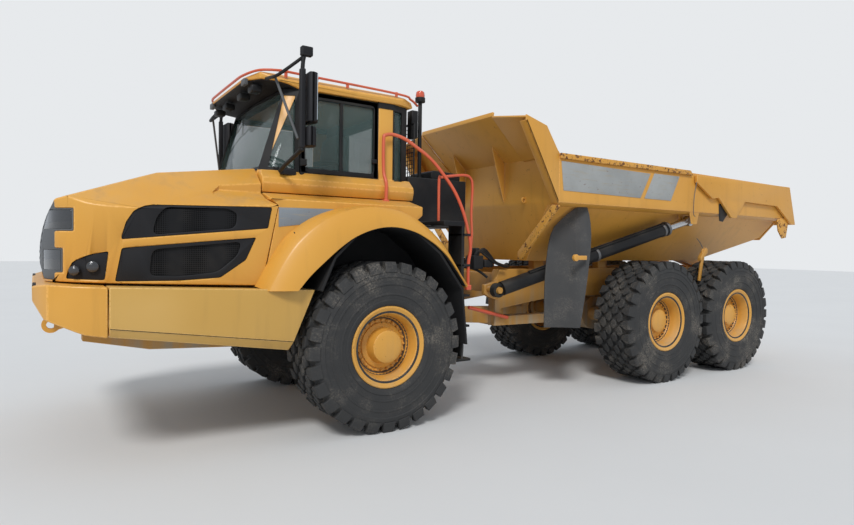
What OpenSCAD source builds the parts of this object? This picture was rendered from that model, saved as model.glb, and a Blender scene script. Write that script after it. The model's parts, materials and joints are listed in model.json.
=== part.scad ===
// Articulated dump truck: a tractor and a six-wheel-drive load unit, hinged between them.
// Stations (x) run rearwards from the front axle, y is across (left is negative), z is up.

/* [Overall] */
// Front axle to the front bumper's face
front_reach = 2770; // [2770:10:2900]
// Front axle to the rearmost edge of the tailgate
rear_reach = 7440; // [7440:10:7600]
// Front axle to the first bogie axle
wheel_base = 4175; // [4150:5:4200]
// Distance between the two bogie axles
bogie_base = 1670; // [1640:5:1700]
// Distance between the wheels' centre planes on one axle
track_w = 2258; // [2240:2:2280]

/* [Wheels] */
// Tyre radius out to the lugs' tips
tyre_r = 795; // [780:1:800]
// Tyre section width
tyre_w = 594; // [570:2:600]
// Bead seat radius of the rim
bead_r = 318; // [310:1:330]
// Outer radius of the rim's flange
flange_r = 384; // [375:1:395]
// Rim width over its flanges
rim_w = 540; // [520:2:550]
// Depth of the wheel disc behind the rim's outer edge, front wheels
front_dish = 170; // [150:5:200]
// Depth of the wheel disc behind the rim's outer edge, bogie wheels
rear_dish = 200; // [180:5:220]

/* [Hitch] */
// Station of the steering pivot
pivot_x = 1220; // [1210:5:1230]
// Height of the hitch's roll axis
roll_z = 900; // [890:5:910]
// Radius of the hitch's roll shaft
roll_r = 140; // [120:5:150]
// Radius of the steering pins
steer_pin_r = 55; // [45:1:60]
// Running clearance at pins and shafts
run_gap = 0.05; // [0.03:0.01:0.08]
// Clearance between pieces that move past each other
move_gap = 8; // [6:1:12]

/* [Load body] */
// Station of the tipping hinge
tip_x = 6450; // [6440:5:6460]
// Height of the tipping hinge
tip_z = 1450; // [1440:5:1460]
// Width of the load body
bed_w = 2700; // [2680:5:2710]
// Station of the body's front wall
bed_front = 2200; // [2190:5:2220]
// Height of the body's underside
bed_floor_z = 1580; // [1570:5:1590]
// Height of the side rail at the front
rail_z = 2812; // [2800:2:2830]
// Plate thickness of the body's walls
bed_wall = 30; // [20:1:40]

/* [Cab] */
// Width of the cab over its doors
cab_w = 1720; // [1700:5:1740]
// Height of the cab's roof
roof_z = 3330; // [3320:5:3350]
// Thickness of the cab's walls and pillars
cab_wall = 50; // [40:2:60]
// Thickness of the window glass
glass_t = 8; // [6:1:10]

/* [Front body] */
// Half width of the hood at its rear edge
hood_half = 1205; // [1190:5:1210]
// Half width over the front fenders
fender_half = 1430; // [1420:2:1432]
// Sheet thickness of the hood and fenders
sheet_t = 25; // [15:1:30]

/* [Hidden] */
$fn = 48;

YELLOW = [0.93, 0.60, 0.12];
BLACK = [0.10, 0.10, 0.11];
STEEL = [0.45, 0.45, 0.47];
RED = [0.85, 0.16, 0.08];
RUBBER = [0.14, 0.14, 0.15];
GLASS = [0.45, 0.55, 0.55, 0.4];

wheel_z = tyre_r;
wheel_y = track_w / 2;
mid_x = wheel_base;
rear_x = wheel_base + bogie_base;
bed_half = bed_w / 2;
cab_half = cab_w / 2;
origin_x = -(rear_reach - front_reach) / 2;

// Moves children from stations to the part's own frame
module placed() translate([origin_x, 0, 0]) children();
// Draws children on the left and mirrored on the right
module both() { children(); mirror([0, 1, 0]) children(); }
// Extrudes an outline drawn as [x, z] across the truck from y0 to y1
module across(y0, y1) translate([0, y1, 0]) rotate([90, 0, 0]) linear_extrude(y1 - y0) children();
// Extrudes an outline drawn as [y, z] along the truck from x0 to x1
module along(x0, x1) translate([x0, 0, 0]) rotate([90, 0, 90]) linear_extrude(x1 - x0) children();
// Extrudes an outline drawn as [x, y] upwards from z0 to z1
module upward(z0, z1) translate([0, 0, z0]) linear_extrude(z1 - z0) children();
// A block between two opposite corners
module block(a, b) translate(a) cube(b - a);
// A round bar from one point to another
module bar(a, b, r) {
    v = b - a;
    l = norm(v);
    translate(a) rotate([0, acos(v[2] / l), atan2(v[1], v[0])]) cylinder(r = r, h = l);
}
// A bent round bar through a list of points
module pipe(pts, r) {
    for (i = [0 : len(pts) - 2]) bar(pts[i], pts[i + 1], r);
    if (len(pts) > 2) for (i = [1 : len(pts) - 2]) translate(pts[i]) sphere(r = r + 0.7);
}
// A round bar across the truck
module cross_bar(x, z, r, y0, y1) translate([x, y1, z]) rotate([90, 0, 0]) cylinder(r = r, h = y1 - y0);
// The outline of a half section, mirrored about the truck's middle
function both_halves(half) = concat(half, [for (i = [len(half) - 1 : -1 : 0]) [-half[i][0], half[i][1]]]);

/* [Hidden] */
// Wheels: name, station, side (-1 left, 1 right), depth of dish, hub length past the disc
WHEELS = [
    ["front_left", 0, -1, front_dish, 150], ["front_right", 0, 1, front_dish, 150],
    ["mid_left", mid_x, -1, rear_dish, 90], ["mid_right", mid_x, 1, rear_dish, 90],
    ["rear_left", rear_x, -1, rear_dish, 90], ["rear_right", rear_x, 1, rear_dish, 90]
];

// Places a revolved shape drawn as [radius, outward distance] on a wheel's axis
module on_wheel(w) translate([w[1], w[2] * wheel_y, wheel_z]) rotate([-90 * w[2], 0, 0]) children();

bead_seat = rim_w / 2 - 20;
seat_gap = 0.3;
module tyre(w) color(RUBBER) placed() on_wheel(w) rotate_extrude() {
    h = tyre_w / 2;
    // Half of the section as [radius, distance from the middle], outside then inside
    outside = [[tyre_r, 0], [tyre_r - 3, 150], [tyre_r - 14, h - 24], [745, h - 6], [690, h - 14], [560, h],
        [440, h - 14], [flange_r + 16, bead_seat + 18], [flange_r + 4, bead_seat - seat_gap],
        [bead_r + seat_gap, bead_seat - seat_gap]];
    inside = [[bead_r + seat_gap, bead_seat - 60], [bead_r + 50, bead_seat - 50], [500, h - 60], [690, h - 90],
        [705, h - 150]];
    polygon(concat([for (p = outside) p], [for (p = inside) p],
        [for (i = [len(inside) - 1 : -1 : 0]) [inside[i][0], -inside[i][1]]],
        [for (i = [len(outside) - 1 : -1 : 1]) [outside[i][0], -outside[i][1]]]));
}

spindle_r = 70;
module wheel(w) color(YELLOW) placed() on_wheel(w) {
    h = rim_w / 2;
    disc = h - w[3];
    rotate_extrude() polygon([
        [flange_r - 14, h], [flange_r, h - 6], [flange_r, bead_seat], [bead_r, bead_seat],
        [bead_r, bead_seat - 75], [bead_r - 12, bead_seat - 90], [bead_r - 12, -bead_seat + 90],
        [bead_r, -bead_seat + 75], [bead_r, -bead_seat], [flange_r, -bead_seat],
        [flange_r, -h + 6], [flange_r - 14, -h], [bead_r - 6, -h + 30],
        [bead_r - 34, -h + 110], [bead_r - 34, disc - 30], [170, disc - 22], [spindle_r + run_gap, disc - 22],
        [spindle_r + run_gap, disc + 70], [0, disc + 70],
        [0, disc + w[4]], [110, disc + w[4]], [150, disc + w[4] - 14], [158, disc + w[4] - 50],
        [172, disc + 30], [215, disc + 20], [215, disc], [bead_r - 60, disc],
        [bead_r - 34, disc + 40], [bead_r - 34, h - 110], [bead_r - 6, h - 30]
    ]);
}

// A driven axle across the truck at one station: tube, spindles, hubs and differential housing
module axle(x, dish) {
    inner = wheel_y + rim_w / 2 - dish - 22 - move_gap;
    cross_bar(x, wheel_z, 105, -inner, inner);
    cross_bar(x, wheel_z, spindle_r, -inner - 80, inner + 80);
    both() cross_bar(x, wheel_z, 175, -inner, -inner + 170);
    cross_bar(x, wheel_z, 235, -150, 150);
    translate([x - 230, 0, wheel_z]) rotate([0, 90, 0]) cylinder(r = 120, h = 460);
}
cushion_y = 385;
module front_axle() color(YELLOW) placed() {
    axle(0, front_dish);
    both() translate([0, -cushion_y, wheel_z + 60]) cylinder(r = 65, h = 1010 - seat_gap - wheel_z - 60);
}

rail_in = 320;
rail_out = 450;
frame_low = 700;
frame_top = 1050;
cab_floor = 1500;
neck_half = 225;
skirt_out = 1340;
// Hood hinge at the nose
hood_pin = [-2700, 1395];
module front_frame() color(YELLOW) placed() {
    both() across(-rail_out, -rail_in) polygon([
        [-2420, 900], [-2420, 1150], [-2300, 1200], [-400, 1200], [-250, frame_top + 80],
        [150, frame_top + 80], [250, frame_top], [250, 720], [180, 720], [180, 1010], [-180, 1010],
        [-180, 720], [-600, frame_low + 30], [-1900, frame_low + 90]
    ]);
    for (x = [-2350, -600]) block([x, -rail_in - 5, 950], [x + 120, rail_in + 5, 1130]);
    block([190, -rail_in - 5, 960], [260, rail_in + 5, frame_top]);
    block([240, -neck_half, 760], [700, neck_half, frame_top]);
    // Hinge plates that carry the steering pins
    for (z = [[1010, 1075], [700, 765]]) upward(z[0], z[1]) difference() {
        union() {
            polygon([[600, -neck_half], [600, neck_half], [900, 200], [pivot_x, 120], [pivot_x, -120], [900, -200]]);
            translate([pivot_x, 0]) circle(r = 120);
        }
        translate([pivot_x, 0]) circle(r = steer_pin_r + run_gap);
    }
    // Posts under the cab, seats under the engine and outriggers behind the skirts
    both() for (x = [-560, 60]) block([x, -rail_out + 10, frame_top + 20], [x + 110, -rail_in - 10, cab_floor - seat_gap]);
    both() for (x = [-1850, -1350]) block([x, -rail_in - 5, 960], [x + 150, -rail_in + 90, 1060]);
    both() for (x = [-2150, -1150]) block([x, -skirt_out + 25 + seat_gap, 1110], [x + 90, -rail_out + 5, 1170]);
    both() block([-2500 + seat_gap, -rail_out, 1130], [-2410, -rail_in, 1150]);
    // Steering cylinder ears
    both() for (z = [steer_z - 62, steer_z + 42]) upward(z, z + 20) difference() {
        polygon([[255, -neck_half + 5], [400, -neck_half + 5], [steer_front[0] + 45, -steer_front[1] - 45],
            [steer_front[0] - 50, -steer_front[1] - 45]]);
        translate([steer_front[0], -steer_front[1]]) circle(r = 25 + run_gap);
    }
}

// Steering cylinders: pivot points on the tractor and on the hitch as [station, |y|]
steer_front = [330, 370];
steer_rear = [1450, 330];
steer_z = 900;
// Half the room between the plates that hold the rods' eyes
steer_slot = 70;
steer_len = norm(steer_rear - steer_front);
steer_ang = atan2(steer_rear[1] - steer_front[1], steer_rear[0] - steer_front[0]);
module steer_place(side) placed() translate([steer_front[0], side * steer_front[1], steer_z])
    rotate([0, 0, side * steer_ang]) children();
module steer_barrel(side) color(BLACK) steer_place(side) {
    cylinder(r = 25, h = 124, center = true);
    difference() {
        union() {
            cylinder(r = 42, h = 70, center = true);
            block([20, -22, -22], [120, 22, 22]);
            translate([100, 0, 0]) rotate([0, 90, 0]) cylinder(r = 60, h = 560);
        }
        translate([160, 0, 0]) rotate([0, 90, 0]) cylinder(r = 48, h = 470);
        translate([600, 0, 0]) rotate([0, 90, 0]) cylinder(r = 30 + run_gap, h = 100);
    }
}
module steer_rod(side) color(STEEL) steer_place(side) {
    translate([560, 0, 0]) rotate([0, 90, 0]) cylinder(r = 30, h = steer_len - 560 - 30);
    translate([steer_len, 0, 0]) cylinder(r = 50, h = 70, center = true);
}

module hitch() color(YELLOW) placed() {
    difference() {
        union() {
            translate([pivot_x, 0, 765 + move_gap]) cylinder(r = 125, h = 1010 - 765 - 2 * move_gap);
            block([pivot_x + 60, -120, 790], [pivot_x + 200, 120, 985]);
            translate([pivot_x + 190, 0, roll_z]) rotate([0, 90, 0]) cylinder(r = 190, h = 110);
            both() for (z = [steer_z - steer_slot - 22, steer_z + steer_slot]) upward(z, z + 22)
                polygon([[pivot_x + 60, -90], [pivot_x + 245, -90], [steer_rear[0] + 60, -steer_rear[1] - 60],
                    [steer_rear[0] - 60, -steer_rear[1] - 60]]);
        }
        // Room for the rods' eyes to wander as the truck steers
        both() block([pivot_x + 30, -620, steer_z - steer_slot], [pivot_x + 300, -135, steer_z + steer_slot]);
    }
    // Roll shaft and its retaining plate
    translate([pivot_x + 200, 0, roll_z]) rotate([0, 90, 0]) cylinder(r = roll_r, h = 360);
    translate([pivot_x + 540, 0, roll_z]) rotate([0, 90, 0]) cylinder(r = roll_r + 30, h = 40);
    // Steering pins
    translate([pivot_x, 0, 690]) cylinder(r = steer_pin_r, h = 395);
}

tip_pin_r = 45;
roll_front = pivot_x + 300 + move_gap;
roll_back = pivot_x + 540 - move_gap;
module rear_frame() color(YELLOW) placed() {
    // Head that turns on the roll shaft
    difference() {
        union() {
            translate([roll_front, 0, roll_z]) rotate([0, 90, 0]) cylinder(r = 235, h = roll_back - roll_front);
            both() upward(800, 1000) polygon([[roll_back - 60, -120], [roll_back - 60, -232], [1960, -430], [2060, -430], [2060, -300], [1800, -200]]);
        }
        translate([roll_front - 1, 0, roll_z]) rotate([0, 90, 0]) cylinder(r = roll_r + run_gap, h = roll_back - roll_front + 2);
        translate([roll_back, 0, roll_z]) rotate([0, 90, 0]) cylinder(r = roll_r + 60, h = 120);
    }
    // Side rails, and the lower beams that reach forward to the hitch
    both() across(-560, -430) {
        polygon([[1950, 900], [1950, 1340], [2020, 1470], [2900, 1475], [6300, 1475], [tip_x - 60, tip_z + 60],
            [tip_x + 60, tip_z + 60], [tip_x + 130, tip_z - 20], [6620, 1180], [6100, 1100], [2900, 1100], [2040, 990]]);
        polygon([[1950, 780], [1950, 1000], [2045, 1000], [2045, 890], [3300, 890], [3425, 1110], [3525, 1110],
            [3380, 770]]);
    }
    for (x = [2000, 3050, 4900, 6050]) block([x, -435, 1180], [x + 160, 435, 1420]);
    block([1960, -435, 780], [2200, 435, 880]);
    cross_bar(tip_x, tip_z, tip_pin_r, -435, 435);
    // Pads that the body rests on
    both() for (x = [2600, 3800, 5000]) block([x, -550, 1470], [x + 160, -440, bed_floor_z - seat_gap]);
    // Brackets, pins and balls of the hoisting cylinders' lower eyes
    both() {
        across(-620, -555) polygon([[1955, 1100], [1955, 1335], [1840, 1310], [1740, 1290], [1740, 1180], [1820, 1140]]);
        cross_bar(hoist_low[0], hoist_low[2], hoist_pin_r, hoist_low[1] - 60, -600);
        translate(hoist_low) sphere(r = hoist_ball_r);
    }
}

module bogie_beam(y0, y1) across(y0, y1) polygon([
    [mid_x - 190, wheel_z - 90], [mid_x - 190, wheel_z + 90], [mid_x + 160, wheel_z + 110], [5010 - 160, 1000],
    [5010 + 160, 1000], [rear_x - 160, wheel_z + 110], [rear_x + 190, wheel_z + 90], [rear_x + 190, wheel_z - 90],
    [5010 + 250, wheel_z - 130], [5010 - 250, wheel_z - 130]
]);
module rear_axles() color(YELLOW) placed() {
    for (x = [mid_x, rear_x]) axle(x, rear_dish);
    both() bogie_beam(-600, -470);
    cross_bar(5010, 960, 90, -600, 600);
    both() block([4930, -555, 960], [5090, -435, 1100 - seat_gap]);
}

engine_box = [[-1950, -300, 1060 + seat_gap], [-1150, 300, 1850]];
module engine_block() color(STEEL) placed() block(engine_box[0], engine_box[1]);

tow_eye = [-2650, -850, 1100];
module bumper() color(YELLOW) placed() {
    difference() {
        intersection() {
            across(-1200, 1200) polygon([[-2770, 1300], [-2770, 1405], [-2690, 1424], [-2310, 1405], [-2310, 1035],
                [-2450, 1060], [-2700, 1170]]);
            upward(1000, 1450) polygon(both_halves_x([[-2310, 1190], [-2560, 1190], [-2700, 1150], [-2770, 1010]]));
        }
        block([-2690, -1090, 1120], [-2300, 1090, 1360]);
        block([-2440, -1090, 1000], [-2300, 1090, 1360]);
        both() block([-2745, -430, 1355], [-2640, -370, 1430]);
    }
    both() block([-2600, -rail_out, 1110], [-2500, -rail_in, 1240]);
    // Hood hinge pins
    both() cross_bar(hood_pin[0], hood_pin[1], 10, -435, -365);
    // Towing eyes
    both() translate([0, tow_eye[1] - 20, 0]) across(0, 40) difference() {
        union() {
            translate([tow_eye[0], tow_eye[2]]) circle(r = 62);
            polygon([[tow_eye[0] - 60, tow_eye[2] + 15], [tow_eye[0] - 40, 1180], [-2520, 1180], [-2560, 1080], [tow_eye[0], tow_eye[2] - 62]]);
        }
        translate([tow_eye[0], tow_eye[2]]) circle(r = 30);
    }
}
function both_halves_x(half) = concat(half, [for (i = [len(half) - 1 : -1 : 0]) [half[i][0], -half[i][1]]]);

module side_skirts() color(YELLOW) placed() both() difference() {
    across(-skirt_out, -800) polygon([[-2300, 1405], [-850, 1350], [-1030, 845], [-2300, 1030]]);
    across(-skirt_out + 25, -799) polygon([[-2301, 1380], [-870, 1325], [-1040, 870], [-2301, 1055]]);
}
module hood_body(t) intersection() {
    across(-1300, 1300) polygon([
        [-2690 + t, 1435 - (t > 0 ? 10 : 0)], [-2735 + t, 1700], [-2715 + t, 1850], [-2620 + t, 2010 - t / 2],
        [-2480 + t / 2, 2130 - t], [-1600, 2400 - t], [-1110 + (t > 0 ? 5 : 0), 2475 - t],
        [-1110 + (t > 0 ? 5 : 0), 1385 - (t > 0 ? 10 : 0)]
    ]);
    upward(1300, 2500) polygon(both_halves_x([
        [-1100, hood_half - t], [-2250, 1130 - t], [-2500, 1030 - t], [-2650, 840 - t], [-2740 + t, 500]
    ]));
    along(-2800, -1000) polygon([
        [-1300, 1300], [-1300, 1700], [-(1215 - t), 2090], [-(900 - t), 2330 - t], [-(700 - t), 2480],
        [700 - t, 2480], [900 - t, 2330 - t], [1215 - t, 2090], [1300, 1700], [1300, 1300]
    ]);
}
// Openings of the nose grille and the side vents, smaller by g on every side
module nose_window(g) block([-2800, -560 + g, 1500 + g], [-2450, 560 - g, 1940 - g]);
module vent_window(g) both() across(-1300, -1000) {
    polygon([[-2190 + 1.5 * g, 1760 + g], [-2150 + 1.5 * g, 1880 - g], [-1140 - g, 2050 - g], [-1140 - g, 1900 + g]]);
    polygon([[-2250 + 1.5 * g, 1480 + g], [-2220 + 1.5 * g, 1690 - g], [-1200 - 1.5 * g, 1820 - g], [-1380 - 1.5 * g, 1500 + g]]);
}
module hood() color(YELLOW) placed() {
    difference() {
        hood_body(0);
        hood_body(sheet_t);
        nose_window(0);
        vent_window(0);
    }
    both() across(-412, -388) difference() {
        union() {
            translate(hood_pin) circle(r = 22);
            polygon([[hood_pin[0] - 20, hood_pin[1] + 10], [-2690, 1450], [-2662, 1495], [-2620, 1495],
                [hood_pin[0] + 20, hood_pin[1] - 8]]);
        }
        translate(hood_pin) circle(r = 10 + run_gap);
    }
}
module hood_vents() color(BLACK) placed() intersection() {
    difference() { hood_body(8); hood_body(sheet_t - 4); }
    vent_window(seat_gap);
}
module nose_grille() color(BLACK) placed() intersection() {
    difference() { hood_body(8); hood_body(sheet_t - 4); }
    nose_window(seat_gap);
}

arch_in = 880;
// Wheel arch as [station, height], front to rear
ARCH = [[-690, 1345], [-560, 1640], [-330, 1860], [-30, 1940], [230, 1920], [560, 1680], [840, 1320]];
function arch_at(d) = [for (p = ARCH) let(v = p - [0, wheel_z]) [0, wheel_z] + v * (1 - d / norm(v))];
function backwards(l) = [for (i = [len(l) - 1 : -1 : 0]) l[i]];
function skirt_top(x) = 1405 - (x + 2300) * 0.03793;
module fenders() color(YELLOW) placed() both() {
    foot = [[-1080, skirt_top(-1080) + seat_gap], [-1080, 2090], [-140, 2100], [250, 2010], [600, 1760], [900, 1330]];
    inner = [[-1055, 1350], [-1055, 2065], [-145, 2075], [240, 1985], [580, 1740], [870, 1320]];
    difference() {
        across(-fender_half, -cab_half - 20) polygon(concat(foot, backwards(ARCH), [[-850, 1350 + seat_gap]]));
        across(-fender_half + sheet_t, -cab_half - 19) polygon(concat(inner, backwards(ARCH)));
    }
}
module fender_liners() color(BLACK) placed() both() across(-fender_half + sheet_t + seat_gap, -arch_in + 160)
    polygon(concat(arch_at(seat_gap), [[900, 755], [880, 755]], backwards(arch_at(25))));

module cab_plan(o) polygon(both_halves_x([[-1060 + o, 600 - o], [-900 + o, 800 - o], [-690, cab_half - o],
    [310, cab_half - o], [520 - o, 780 - o]]));
cab_base_half = 690;
sill_z = 2160;
// Window openings, smaller by g on every side: front, corners, right side, rear quarters and back
module cab_windows(g) {
    block([-1100, -600 + g, 2430 + g], [-900, 600 - g, 3180 - g]);
    both() intersection() {
        upward(2430 + g, 3180 - g) polygon([[-1100, -640 - g], [-930, -790], [-700 - g, -1000], [-1200, -1000]]);
        block([-1100, -900, 2400], [-700 - g, -640 - g, 3200]);
    }
    across(600, cab_half + 10) polygon([[-650 + g, 2430 + g], [-650 + g, 3100 - g], [150 - g, 3100 - g], [150 - g, 2260 + g]]);
    both() across(-cab_half - 10, -600) polygon([[250 + g, 2260 + g], [250 + g, 3100 - g], [420 - g, 3100 - g], [420 - g, 2260 + g]]);
    block([440, -600 + g, 2500 + g], [600, 600 - g, 3100 - g]);
}
module cab_shell() color(YELLOW) placed() { cab_hull(); door_pins(); }
module cab_hull() difference() {
    union() {
        upward(sill_z, 3180) cab_plan(0);
        block([-880, -cab_base_half, cab_floor], [500, cab_base_half, sill_z + 1]);
    }
    upward(sill_z + cab_wall, 3181) cab_plan(cab_wall);
    block([-830, -cab_base_half + cab_wall, cab_floor + 400], [450, cab_base_half - cab_wall, 2400]);
    across(-cab_half - 10, -600) polygon([[-691, 2200], [-691, 3190], [150, 3190], [150, 2200]]);
    cab_windows(0);
}
// Door hinge line as [x, y], and the heights of its knuckles
door_hinge = [-672, -873];
knuckles = [2350, 3000];
module door_pins() for (z = knuckles) {
    translate([door_hinge[0], door_hinge[1], z - 15]) cylinder(r = 8, h = 90);
    for (h = [z - 15, z + 62]) upward(h, h + 13) polygon([[-720, -850], [-720, -866], [-690, -884], [-668, -884], [-668, -868], [-686, -862], [-700, -850]]);
}
module cab_roof() color(YELLOW) placed() intersection() {
    across(-900, 900) polygon([[-1100, 3180.3], [-1100, 3240], [-1000, 3300], [-700, roof_z], [400, roof_z],
        [600, 3290], [620, 3180.3]]);
    upward(3100, 3400) polygon(both_halves_x([[-1100, 640], [-900, 880], [400, 880], [620, 780]]));
}
module cab_glass() color(GLASS) placed() intersection() {
    difference() { upward(2000, 3179) cab_plan(16); upward(1999, 3200) cab_plan(16 + glass_t); }
    cab_windows(seat_gap);
}
module cab_door() color(BLACK) placed() { door_frame(); door_knuckles(); }
module door_frame() difference() {
    across(-cab_half, -cab_half + cab_wall) polygon([[-672, 2206], [-672, 3172], [142, 3172], [142, 2206]]);
    across(-cab_half - 1, -cab_half + cab_wall + 1) polygon([[-620, 2430], [-640, 3110], [95, 3110], [95, 2270]]);
}
module door_knuckles() for (z = knuckles) upward(z, z + 60) difference() {
    union() {
        translate(door_hinge) circle(r = 15);
        polygon([[door_hinge[0], -888], [-640, -872], [-640, -850], [door_hinge[0], -861]]);
    }
    translate(door_hinge) circle(r = 8 + run_gap);
}
module door_glass() color(GLASS) placed() across(-cab_half + 20, -cab_half + 28)
    polygon([[-619.7, 2430.3], [-639.6, 3109.7], [94.7, 3109.7], [94.7, 2270.3]]);
module cab_interior() color(STEEL) placed() {
    block([-450, -270, 1900 + seat_gap], [50, 270, 2400]);
    block([-50, -270, 2390], [80, 270, 2950]);
}
module mirrors() color(BLACK) placed() both() {
    upward(2330, 2420) polygon([[-880, -806 - 2 * seat_gap], [-720, -852 - 2 * seat_gap], [-730, -890], [-890, -845]]);
    pipe([[-830, -860, 2380], [-905, -1000, 2400], [-840, -1385, 2560], [-840, -1385, 3260]], 18);
    block([-860, -1450, 2700], [-800, -1320, 3150]);
}
module rails_steps() color(RED) placed() {
    pipe([[180, -910, 2101], [180, -910, 2840], [500, -1150, 2680], [870, -1200, 2320], [1070, -1200, 1800],
        [1070, -1200, 1400], [1040, -1200, 1300]], 18);
    block([170, -918, 2162], [200, -cab_half - seat_gap, 2190]);
}
module rear_deck() color(BLACK) placed() {
    block([540, -800, 1950], [1300, 800, 2470]);
    block([300, -210, frame_top + seat_gap], [590, 210, 1400]);
    block([560, -210, 1300], [700, 210, 1960]);
    // Ladder frame behind the left front wheel
    block([700, -1250, 1960], [760, -790, 2000]);
    block([925, -1250, 600], [960, -1000, 2000]);
    block([700, -1250, 1950], [960, -1000, 2000]);
}
gate_in = 1360;
gate_out = 1400;
module bed_section(o) polygon(both_halves([
    [-(bed_half - o), rail_z + 60], [-(bed_half - o), 2260 + o], [-(bed_half - o) + 60, 2230 + o], [-(1150 - o), 2230 + o],
    [-(640 - o / 2), bed_floor_z + o]
]));
module bed_profile(o) polygon([
    [bed_front + o, rail_z + 100 * (o > 0 ? 1 : 0)], [bed_front + o, 2300], [2380 + o, bed_floor_z + o], [5920, bed_floor_z + o],
    [7250 + 2 * o, 1960 + o], [7290 + 2 * o, 2170], [7130 + 2 * o, 2765 + 100 * (o > 0 ? 1 : 0)]
]);
module bed() color(YELLOW) placed() {
    difference() {
        intersection() { along(2000, 7400) bed_section(0); across(-1400, 1400) bed_profile(0); }
        intersection() { along(2000, 7500) bed_section(bed_wall); across(-1400, 1400) bed_profile(bed_wall); }
    }
    both() {
        // Lugs for the hoisting rods' eyes, with room for the eyes to wander
        for (y = [hoist_top[1] - 38 - 40 - 16, hoist_top[1] + 38 + 40]) across(y, y + 16)
            polygon([[4690, 2258], [4740, 2095], [4860, 2095], [4910, 2258]]);
        cross_bar(gate_pin[0], gate_pin[1], gate_pin_r, -gate_out, -bed_half + 20);
        cross_bar(gate_pin[0], gate_pin[1], gate_pin_r + 30, -gate_in + seat_gap, -bed_half + 20);
    }
    both() for (y = [-425, -275]) across(y, y + 40) difference() {
        union() {
            polygon([[5900, bed_floor_z + 5], [6300, 1480], [tip_x, tip_z - 90], [tip_x + 80, tip_z - 40], [tip_x + 90, 1770]]);
            translate([tip_x, tip_z]) circle(r = 95);
        }
        translate([tip_x, tip_z]) circle(r = tip_pin_r + run_gap);
    }
}
// Tailgate pivot
gate_pin = [5690, 2380];
gate_pin_r = 40;
module spill_guard() color(YELLOW) placed() {
    across(-1340, 1340) polygon([[2200, 2812.3], [1850, 3250], [1850, 3280], [2230, 2812.3]]);
}
module bed_flaps() color(RUBBER) placed() both() intersection() {
    upward(790, 2229.7) polygon([[2450, -1040], [2620, -1190], [2800, -1300], [2790, -1316], [2610, -1206], [2436, -1052]]);
    across(-1350, -1000) polygon([[2400, 790], [2400, 2040], [2490, 2060], [2620, 2229.7], [2850, 2229.7], [2780, 790]]);
}
module tailgate() color(YELLOW) placed() {
    both() across(-gate_out, -gate_in) difference() {
        polygon([[4760, 2660], [4760, 2760], [7160, 2755], [7180, 2755], [7400, 2170],
        [7330, 2170], [6880, 2440], [5960, 2460], [5740, 2210], [5620, 2210], [5290, 2480], [5140, 2460]]);
        translate(gate_pin) circle(r = gate_pin_r + run_gap);
    }
    across(-1400, 1400) polygon([[7180, 2755], [7240, 2755], [rear_reach, 2170], [7380, 2170]]);
}

// Hoisting cylinders: lower eye on the frame and upper eye on the body, left side
hoist_low = [1800, -780, 1235];
hoist_top = [4800, -1250, 2145];
// Ball of the lower eye's bearing, and the pin through it
hoist_ball_r = 50;
hoist_pin_r = 36;
module hoist_place(side) placed() {
    v = hoist_top - hoist_low;
    mirror([0, side > 0 ? 1 : 0, 0]) translate(hoist_low) rotate([0, acos(v[2] / norm(v)), atan2(v[1], v[0])]) children();
}
module hoist_barrel(side) color(BLACK) {
    hoist_place(side) difference() {
        translate([0, 0, 60]) cylinder(r = 85, h = 2700);
        translate([0, 0, 160]) cylinder(r = 70, h = 2500);
        translate([0, 0, 2600]) cylinder(r = 50 + run_gap, h = 200);
        sphere(r = hoist_ball_r + 18);
    }
    placed() mirror([0, side > 0 ? 1 : 0, 0]) translate(hoist_low) difference() {
        rotate([90, 0, 0]) cylinder(r = 84, h = 76, center = true);
        rotate([90, 0, 0]) cylinder(r = hoist_ball_r + run_gap, h = 80, center = true);
    }
}
module hoist_rod(side) color(STEEL) {
    hoist_place(side) translate([0, 0, 2500]) cylinder(r = 50, h = norm(hoist_top - hoist_low) - 2560);
    placed() mirror([0, side > 0 ? 1 : 0, 0]) translate(hoist_top) rotate([90, 0, 0]) cylinder(r = 72, h = 76, center = true);
}

front_frame();
front_axle();
engine_block();
bumper();
side_skirts();
fenders();
fender_liners();
hood();
hood_vents();
nose_grille();
cab_shell();
cab_roof();
cab_glass();
cab_door();
door_glass();
cab_interior();
mirrors();
rails_steps();
rear_deck();
hitch();
rear_frame();
rear_axles();
bed();
spill_guard();
bed_flaps();
tailgate();
for (w = WHEELS) {
    wheel(w);
    tyre(w);
}
for (s = [["left", -1], ["right", 1]]) {
    hoist_barrel(s[1]);
    hoist_rod(s[1]);
    steer_barrel(s[1]);
    steer_rod(s[1]);
}
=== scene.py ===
"""Articulated dump truck: finishes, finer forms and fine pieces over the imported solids."""
import json
import math

import bmesh
import bpy
from mathutils import Matrix, Vector


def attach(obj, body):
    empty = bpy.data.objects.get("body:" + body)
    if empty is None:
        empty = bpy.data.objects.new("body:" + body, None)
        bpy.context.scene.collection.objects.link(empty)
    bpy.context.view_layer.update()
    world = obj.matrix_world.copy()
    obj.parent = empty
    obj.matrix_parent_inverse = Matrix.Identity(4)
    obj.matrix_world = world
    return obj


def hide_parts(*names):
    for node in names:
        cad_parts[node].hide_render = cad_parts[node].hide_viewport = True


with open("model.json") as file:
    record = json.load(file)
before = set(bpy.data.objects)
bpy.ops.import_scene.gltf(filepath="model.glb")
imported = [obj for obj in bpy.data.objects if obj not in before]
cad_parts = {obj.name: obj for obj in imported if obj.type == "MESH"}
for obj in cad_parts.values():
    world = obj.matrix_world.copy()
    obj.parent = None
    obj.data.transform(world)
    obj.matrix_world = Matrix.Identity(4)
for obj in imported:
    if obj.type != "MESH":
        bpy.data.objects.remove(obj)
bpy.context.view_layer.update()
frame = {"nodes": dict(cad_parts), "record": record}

NODES = frame["nodes"]
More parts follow.
